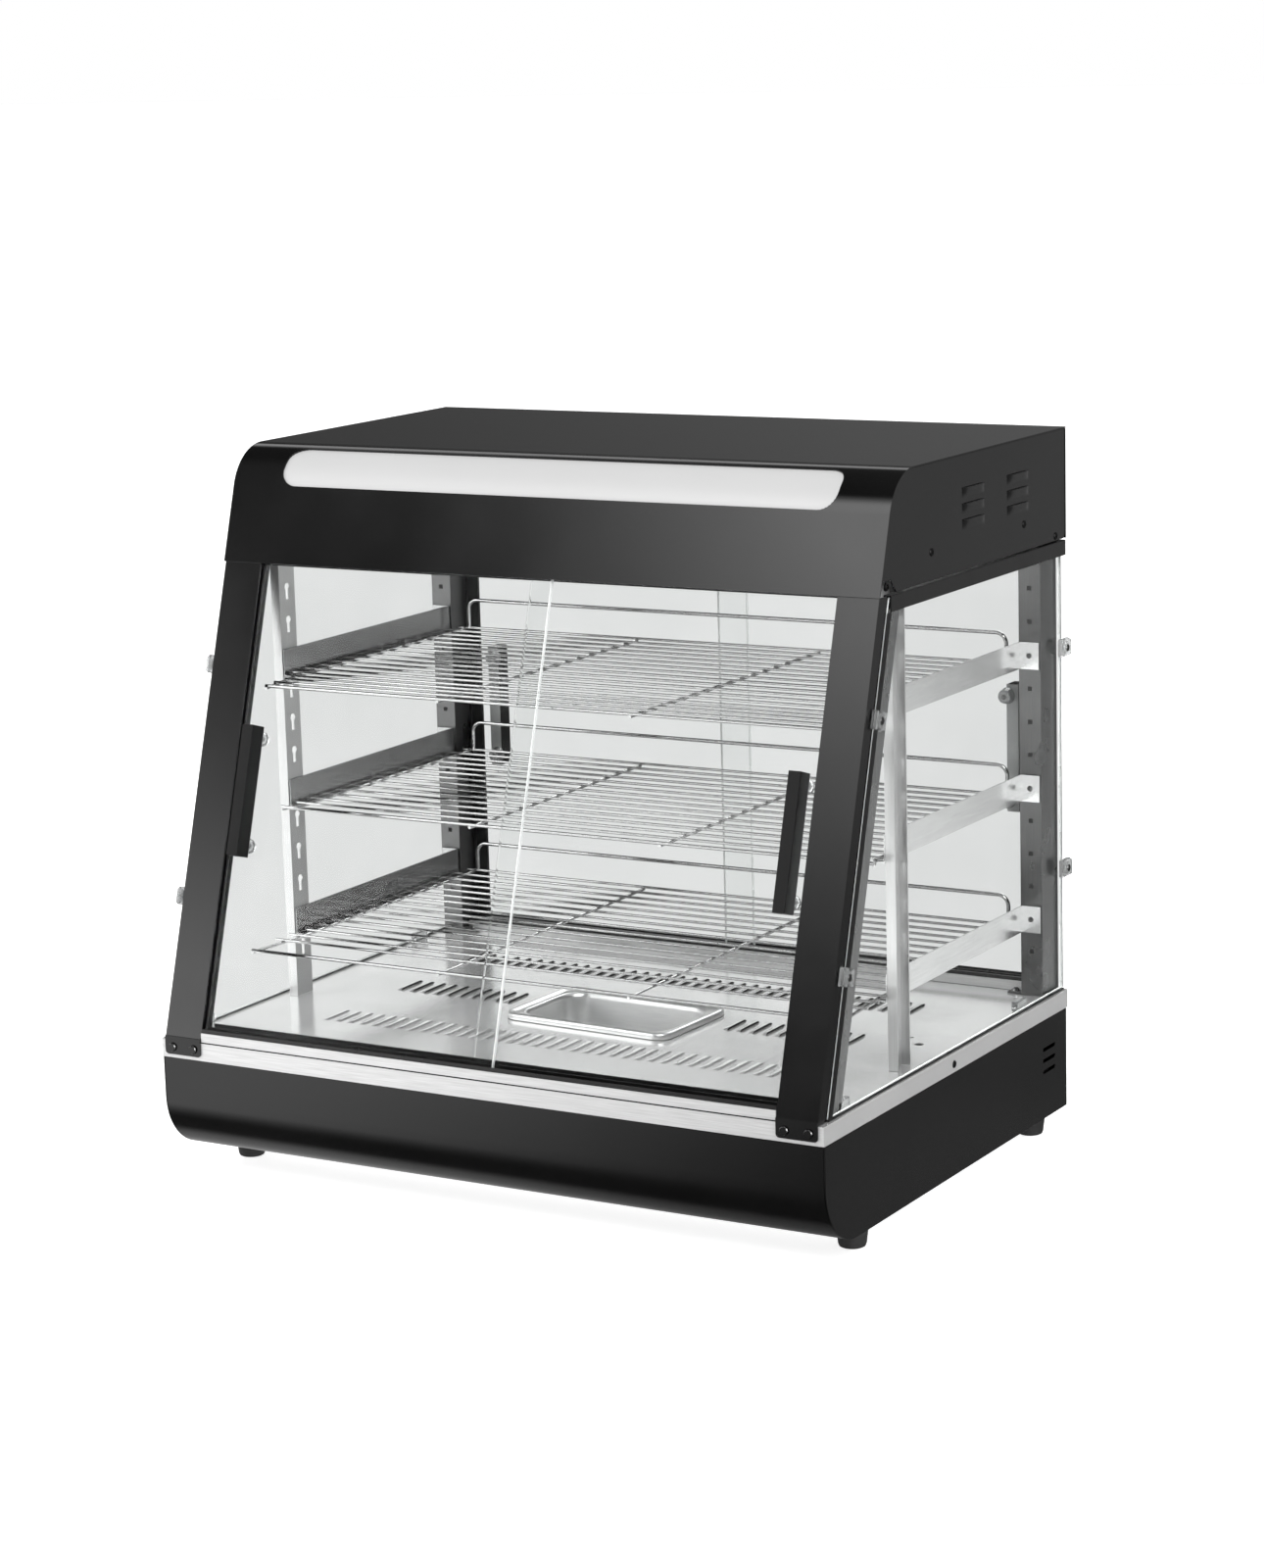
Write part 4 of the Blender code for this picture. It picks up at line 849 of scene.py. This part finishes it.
def make_side_glass(side, sign):
    """The pane, a dark strip on its rear edge, the channel on its top and the gasket under it."""
    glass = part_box(f"side_glass_{side}")
    low_z, high_z, rear = glass[0].z, glass[1].z, glass[1].y - SHIFT
    front = POST_END + 0.001
    outline = [
        (slope_y(low_z, front), low_z), (rear, low_z), (rear, high_z), (slope_y(high_z, front), high_z),
    ]
    start = SIDE_GLASS_X if sign > 0 else -SIDE_GLASS_X - GLASS
    strip = block((start + 0.0002, rear + 0.0001, low_z), (start + GLASS - 0.0002, rear + 0.0016, high_z))
    piece(f"glass_edge_strip_{side}", soften(strip, EDGE), SEAL)
    pane(f"side_pane_{side}", outline, X, start, "case", CASE, (f"side_glass_{side}",))
    refine(f"side_glass_channel_{side}", BLACK, 0.0005)
    inwards = 0.0010 if sign > 0 else -0.0008
    low, high = sorted((sign * (SIDE_GLASS_X - inwards), sign * (SIDE_GLASS_X + GLASS + 0.0015)))
    gasket = block((low, slope_y(FLOOR_Z, POST_END), FLOOR_Z + 0.0002), (high, rear, FLOOR_Z + 0.0013))
    piece(f"glass_gasket_{side}", soften(gasket, EDGE), SEAL)


def make_clips(side, sign):
    """Clear blocks with a screw that hold the side glass to the posts."""
    outer = SIDE_GLASS_X + GLASS
    front = ((-0.1300, 0.4420), (-0.1950, 0.2430)) if sign > 0 else ((-0.1380, 0.4490), (-0.1988, 0.2500))
    places = [(y, z, -SLANT) for y, z in front] + [(0.2405, z, 0.0) for z in (0.4440, 0.2430)]
    turn = Matrix.Rotation(0 if sign > 0 else pi, 4, "Z")
    seat, dome, screw_seat = 0.0044, 0.0064, 0.0062
    for k, (y, z, lean) in enumerate(places):
        bm = soften(block((0.0001, -0.0085, -0.0080), (0.0050, 0.0085, 0.0080)), 0.0012)
        boss = turned([(0, dome), (0.0040, dome), (0.0056, 0.0058), (0.0062, seat), (0, seat)], 20)
        rib = soften(block((seat, 0.0050, -0.0070), (0.0066, 0.0080, 0.0070)), 0.0008)
        merge(bm, moved(boss, TURN_TO["+X"]), rib)
        spot = CASE @ Matrix.Translation((sign * outer, y, z)) @ Matrix.Rotation(lean, 4, "X") @ turn
        piece(f"clip_{side}_{k}", bm, CLIP, "case", spot)
        head = moved(screw_head(SCREW_R, 0.0012), Matrix.Translation((0, 0, screw_seat)))
        piece(f"clip_{side}_{k}_screw", head, SCREW, "case", spot @ TURN_TO["+X"])
    # small clear blocks on the floor, inside the glass
    for k, y in enumerate((-0.1900, 0.1580)):
        bm = soften(block((-0.0060, -0.0110, 0.0002), (0.0, 0.0110, 0.0090)), 0.0012)
        spot = CASE @ Matrix.Translation((sign * (SIDE_GLASS_X - 0.0004), y, FLOOR_Z))
        piece(f"corner_clip_{side}_{k}", bm, CLIP, "case", spot @ turn)


def make_racks():
    """Each has its front wire's place and half width, and the first gaps that differ from the rest."""
    make_rack("bottom", -0.1465, 0.2955, (0.0430,))
    make_rack("middle", -0.0865, 0.2990, ())
    make_rack("top", -0.1310, 0.2780, (0.0190, 0.0170, 0.0155, 0.0170))


def make_rack(level, front, front_half, first_gaps):
    """Wires across on a frame of wires along, with a guard loop at the rear.

    The frame narrows or widens to the front wire, ahead of straight_from.
    """
    rear, half_w, pitch = 0.2130, 0.2965, 0.0209
    wire, front_wire, frame_wire, guard_wire = 0.0013, 0.0016, 0.0015, 0.0018
    straight_from, edge_x, inner_x, guard_x = -0.0640, 0.2890, 0.0965, 0.2830
    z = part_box(f"rail_{level}_left")[0].z + SHEET + GAP + wire
    under, end = z - 0.0022, rear + 0.001
    spots = [front]
    for gap in first_gaps:
        spots.append(spots[-1] + gap)
    gaps = round((rear - spots[-1]) / pitch)
    spots += [spots[-1] + (rear - spots[-1]) * k / gaps for k in range(1, gaps + 1)]
    runs = [([(-front_half, front, z), (front_half, front, z)], front_wire)]
    for y in spots[1:]:
        reach = half_w if y > straight_from - 0.004 else front_half + 0.0040
        runs.append(([(-reach, y, z), (reach, y, z)], wire))
    for sign in (-1, 1):
        edge = [(sign * front_half, front, under), (sign * edge_x, straight_from, under)]
        runs.append((edge + [(sign * edge_x, end, under)], frame_wire))
    for x in (-inner_x, inner_x):
        runs.append(([(x, front - 0.001, under), (x, end, under)], frame_wire))
    top, corner = z + 0.0270, 0.010
    loop = [(-guard_x, rear, z), (-guard_x, rear, top), (guard_x, rear, top), (guard_x, rear, z)]
    runs.append((rounded_path(loop, corner, 8), guard_wire))
    wires(f"rack_{level}_wires", runs, CHROME, f"rack_{level}", (f"rack_{level}",))


# ---- controls, on the service side ----------------------------------------------------------------
def make_controls():
    refine("heating_element", STEEL_DARK_WITH_PAINTED_SHADE, 0)
    refine("thermostat_body", WHITE)
    refine("switch_housing", BLACK)
    refine("power_rocker", BLACK)
    refine("light_rocker", BLACK)
    refine("cord_gland", BLACK, EDGE)
    radius, depth = 0.0190, 0.0170
    knob_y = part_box("thermostat_knob")[1].y - depth
    spindle = Matrix.Translation((KNOB_X, knob_y, CONTROL_Z)) @ TURN_TO["+Y"]
    knob = fluted_knob(radius, depth)
    piece("thermostat_knob_finish", knob, BLACK, "thermostat_knob", spindle, ("thermostat_knob",), 40)
    mark = block((-0.0006, 0.0060, depth - 0.0005), (0.0006, 0.0160, depth + 0.00005))
    piece("thermostat_knob_mark", mark, WHITE, "thermostat_knob", spindle)
    make_dial()
    seats = [(x, BASE_REAR, z) for x in (-0.310, 0.0, 0.310) for z in (0.0340, 0.1020)]
    screws("base_rear_screws", seats, "+Y", SCREW_R, 0.0016, BLACK)


def fluted_knob(radius, depth, ribs=24):
    """A tapered knob along +Z with flutes round its grip."""
    flute, taper, rounding = 0.0012, 0.0016, 0.0012
    # how deep the flutes are, from 0 to 1, and the height
    levels = (
        (0.0, 0.0), (0.0, 0.0020), (1.0, 0.0032),
        (1.0, depth - 0.0026), (0.6, depth - 0.0008), (0.2, depth),
    )
    bm = bmesh.new()
    rings = []
    for grip, height in levels:
        ring = []
        for k in range(ribs * 4):
            turn = 2 * pi * k / (ribs * 4)
            dip = flute * grip * (0.5 - 0.5 * cos(turn * ribs))
            narrower = taper * height / depth + (rounding if height == depth else 0)
            reach = radius - narrower - dip
            ring.append(bm.verts.new((reach * cos(turn), reach * sin(turn), height)))
        rings.append(ring)
    for a, b in zip(rings, rings[1:]):
        for k in range(len(a)):
            bm.faces.new((a[k - 1], a[k], b[k], b[k - 1]))
    for ring in (rings[0], rings[-1]):
        bm.faces.new(ring)
    bmesh.ops.recalc_face_normals(bm, faces=bm.faces)
    return bm


def make_dial():
    """Plain marks round the knob, every fifth one longer."""
    ticks = bmesh.new()
    inner, short, long, apart = 0.0215, 0.0245, 0.0260, radians(27)
    for k in range(11):
        tick = block((-0.0003, inner, 0.0), (0.0003, short if k % 5 else long, 0.00008))
        merge(ticks, moved(tick, Matrix.Rotation(apart * k, 4, "Z")))
    dial = CASE @ Matrix.Translation((KNOB_X, BASE_REAR, CONTROL_Z)) @ TURN_TO["+Y"]
    piece("thermostat_dial_ticks", ticks, WHITE, "case", dial)


make_base()
make_floor()
make_pan()
make_hood()
make_front()
make_rear()
make_inside()
make_racks()
make_controls()


# ---- studio ---------------------------------------------------------------------------------------
def make_camera():
    """It stands to the front right of the case; its turn, tilt and roll are in radians."""
    turn, tilt, roll = 0.531474, 0.199184, -0.028234
    spot = Vector((1.6893, -2.8410 + SHIFT, 1.0064))
    ahead = Vector((-sin(turn) * cos(tilt), cos(turn) * cos(tilt), -sin(tilt)))
    level = Vector((cos(turn), sin(turn), 0))
    above = level.cross(ahead)
    right = level * cos(roll) + above * sin(roll)
    up = above * cos(roll) - level * sin(roll)
    data = bpy.data.cameras.new("camera")
    data.lens = 87.37
    data.sensor_width = 36.0
    camera = add_object("camera", data)
    axes = Matrix((right, up, -ahead)).transposed().to_4x4()
    camera.matrix_world = Matrix.Translation(spot) @ axes
    bpy.context.scene.camera = camera


def softbox(name, spot, size, power):
    """An area light that points at the case; reflections see the world's boxes instead."""
    data = bpy.data.lights.new(name, "AREA")
    data.shape = "RECTANGLE"
    data.size, data.size_y = size
    data.energy = power
    lamp = add_object(name, data)
    lamp.location = spot
    middle_of_case = Vector((0, 0, 0.3))
    aim = middle_of_case - Vector(spot)
    lamp.rotation_euler = aim.to_track_quat("-Z", "Y").to_euler()
    lamp.visible_glossy = False


class Light(Finish):
    """Node short-hands for the tree of a world or a stage material."""

    def __init__(self, tree):
        self.tree = tree
        self.path = self.node("LightPath").outputs

    def axes(self, kind):
        """The x, y and z of a texture coordinate."""
        split = self.node("SeparateXYZ")
        self.wire(self.node("TexCoord").outputs[kind], split.inputs[0])
        return split.outputs

    def ramp(self, source, low, high, at_low, at_high):
        return self.spread(source, low, high, at_low, at_high, "SMOOTHSTEP")

    def times(self, *terms):
        return self.maths("MULTIPLY", *terms)

    def plus(self, *terms):
        return self.maths("ADD", *terms)

    def turned_off(self, chooser):
        return self.maths("SUBTRACT", 1.0, chooser)

    def maths(self, operation, *terms):
        """Terms joined one after another; each is a socket or a float."""
        total = terms[0]
        for term in terms[1:]:
            made = self.node("Math", operation=operation)
            for socket, value in zip(made.inputs, (total, term)):
                if isinstance(value, float):
                    socket.default_value = value
                else:
                    self.wire(value, socket)
            total = made.outputs[0]
        return total

    def pick(self, chooser, when_on, when_off):
        return self.plus(self.times(chooser, when_on), self.times(self.turned_off(chooser), when_off))

    def from_inside(self):
        """1 for light that has crossed a pane, met something behind it and come out again."""
        past_one_pane = 2.5         # a pane has two surfaces
        deep = self.maths("GREATER_THAN", self.path["Transmission Depth"], past_one_pane)
        return self.times(self.path["Is Transmission Ray"], deep)

    def after_bounce(self):
        """1 for light that a surface has reflected, 0 for what is seen directly or through glass."""
        bounces = self.plus(self.path["Glossy Depth"], self.path["Diffuse Depth"])
        return self.maths("MINIMUM", bounces, 1.0)


def make_world():
    """White where it is seen, even for matt surfaces, and soft boxes in a dim room for reflections."""
    world = bpy.data.worlds.new("studio")
    bpy.context.scene.world = world
    world.use_nodes = True
    g = Light(world.node_tree)
    x, y, z = g.axes("Generated")
    ramp, times, plus = g.ramp, g.times, g.plus
    # each box is bright between the directions that its ramps name
    front = ramp(y, -0.35, 0.10, 1.0, 0.0)
    high_box = times(
        ramp(x, -0.555, -0.43, 0.0, 3.9), ramp(x, -0.34, -0.20, 1.0, 0.4),
        ramp(z, 0.25, 0.40, 0.0, 1.0), ramp(z, 0.58, 0.80, 1.0, 0.0),
    )
    low_box = times(ramp(x, -0.58, -0.50, 3.2, 0.0), ramp(z, 0.19, 0.32, 1.0, 0.0))
    right_box = times(ramp(x, 0.50, 0.75, 0.0, 8.0), ramp(z, 0.45, 0.70, 1.0, 0.0))
    front_wall = ramp(x, -0.60, -0.44, 0.17, 0.03)
    ahead = times(plus(high_box, low_box, right_box, front_wall), front)
    rear_box = times(ramp(z, 0.40, 0.48, 0.0, 1.1), ramp(z, 0.52, 0.62, 1.0, 0.0))
    rear_wall = times(ramp(x, -0.58, -0.40, 0.08, 0.15), ramp(z, 0.25, 0.5, 1.0, 0.4))
    behind = times(plus(rear_wall, rear_box), g.turned_off(front))
    top_box = ramp(z, 0.93, 0.98, 0.0, 1.2)
    room = plus(ahead, behind, top_box)
    inside = times(ramp(z, 0.22, 0.42, 1.05, 0.09), ramp(x, -0.25, 0.1, 1.0, 0.06))
    reflected = g.pick(g.from_inside(), inside, room)
    even_fill, white = 0.75, 1.0
    bounced = g.pick(g.path["Is Diffuse Ray"], even_fill, reflected)
    background = world.node_tree.nodes["Background"]
    g.wire(g.pick(g.after_bounce(), bounced, white), background.inputs["Strength"])
    background.inputs["Color"].default_value = (1, 1, 1, 1)


def make_floor_of_studio():
    """A pale floor. In reflections and through glass it shows a painted glow instead: painted reflection
    that dims away from the lamps, with painted shade under the case and near the base.
    """
    grid = bmesh.new()
    bmesh.ops.create_grid(grid, x_segments=1, y_segments=1, size=40.0)
    mesh = as_mesh("studio_floor", grid)
    material = bpy.data.materials.new("studio_floor")
    material.use_nodes = True
    g = Light(material.node_tree)
    shader = g.tree.nodes["Principled BSDF"]
    shader.inputs["Base Color"].default_value = (0.75, 0.75, 0.75, 1)
    shader.inputs["Roughness"].default_value = 0.9
    shader.inputs["Emission Color"].default_value = (1, 1, 1, 1)
    shader.inputs["Emission Strength"].default_value = 0.80
    x, y, _ = g.axes("Object")
    ramp, times, plus = g.ramp, g.times, g.plus
    # painted reflection, brighter to the front left, with a painted contact shadow close in front of the
    # base
    before = times(ramp(x, -0.52, 0.32, 1.35, 0.08), ramp(y, -0.36, -0.27, 1.0, 0.05))
    # painted shadow under the case
    under = times(
        ramp(x, -0.30, 0.35, 0.45, 0.16), ramp(y, -0.245, -0.22, 0.0, 1.0), ramp(y, 0.2, 0.4, 1.0, 0.0)
    )
    beyond = times(ramp(y, 0.3, 2.5, 0.14, 0.30), ramp(y, 0.2, 0.4, 0.0, 1.0))
    outside = plus(before, under, beyond)
    across = plus(x, times(y, -0.6))
    right_rear = times(ramp(across, -0.15, 0.15, 0.0, 1.15), ramp(y, -0.2, 0.2, 0.0, 1.0))
    # painted reflection for rays that come from inside the case
    inside = plus(ramp(y, -0.2, 0.2, 2.2, 0.14), right_rear)
    reflected = g.pick(g.from_inside(), inside, outside)
    mirrored = g.maths("MINIMUM", g.path["Glossy Depth"], 1.0)
    # painted shade: the floor seen through glass is dimmer
    painted_glass_shade = 0.84
    painted_glow = g.node("Emission")
    g.wire(g.pick(mirrored, reflected, painted_glass_shade), painted_glow.inputs["Strength"])
    glows = g.maths("MAXIMUM", mirrored, g.path["Is Transmission Ray"])
    glows = times(glows, g.turned_off(g.path["Is Diffuse Ray"]))
    g.end_in_mix(glows, shader.outputs["BSDF"], painted_glow.outputs["Emission"])
    mesh.materials.append(material)
    item = add_object("studio_floor", mesh)


make_camera()
make_world()
make_floor_of_studio()
softbox("key", (1.4, -1.8, 2.6), (2.0, 2.0), 70)
softbox("fill", (-2.2, -1.6, 1.8), (2.2, 2.2), 45)
softbox("back", (0.2, 2.2, 2.4), (2.4, 1.6), 50)
bpy.context.scene.view_settings.view_transform = "Standard"
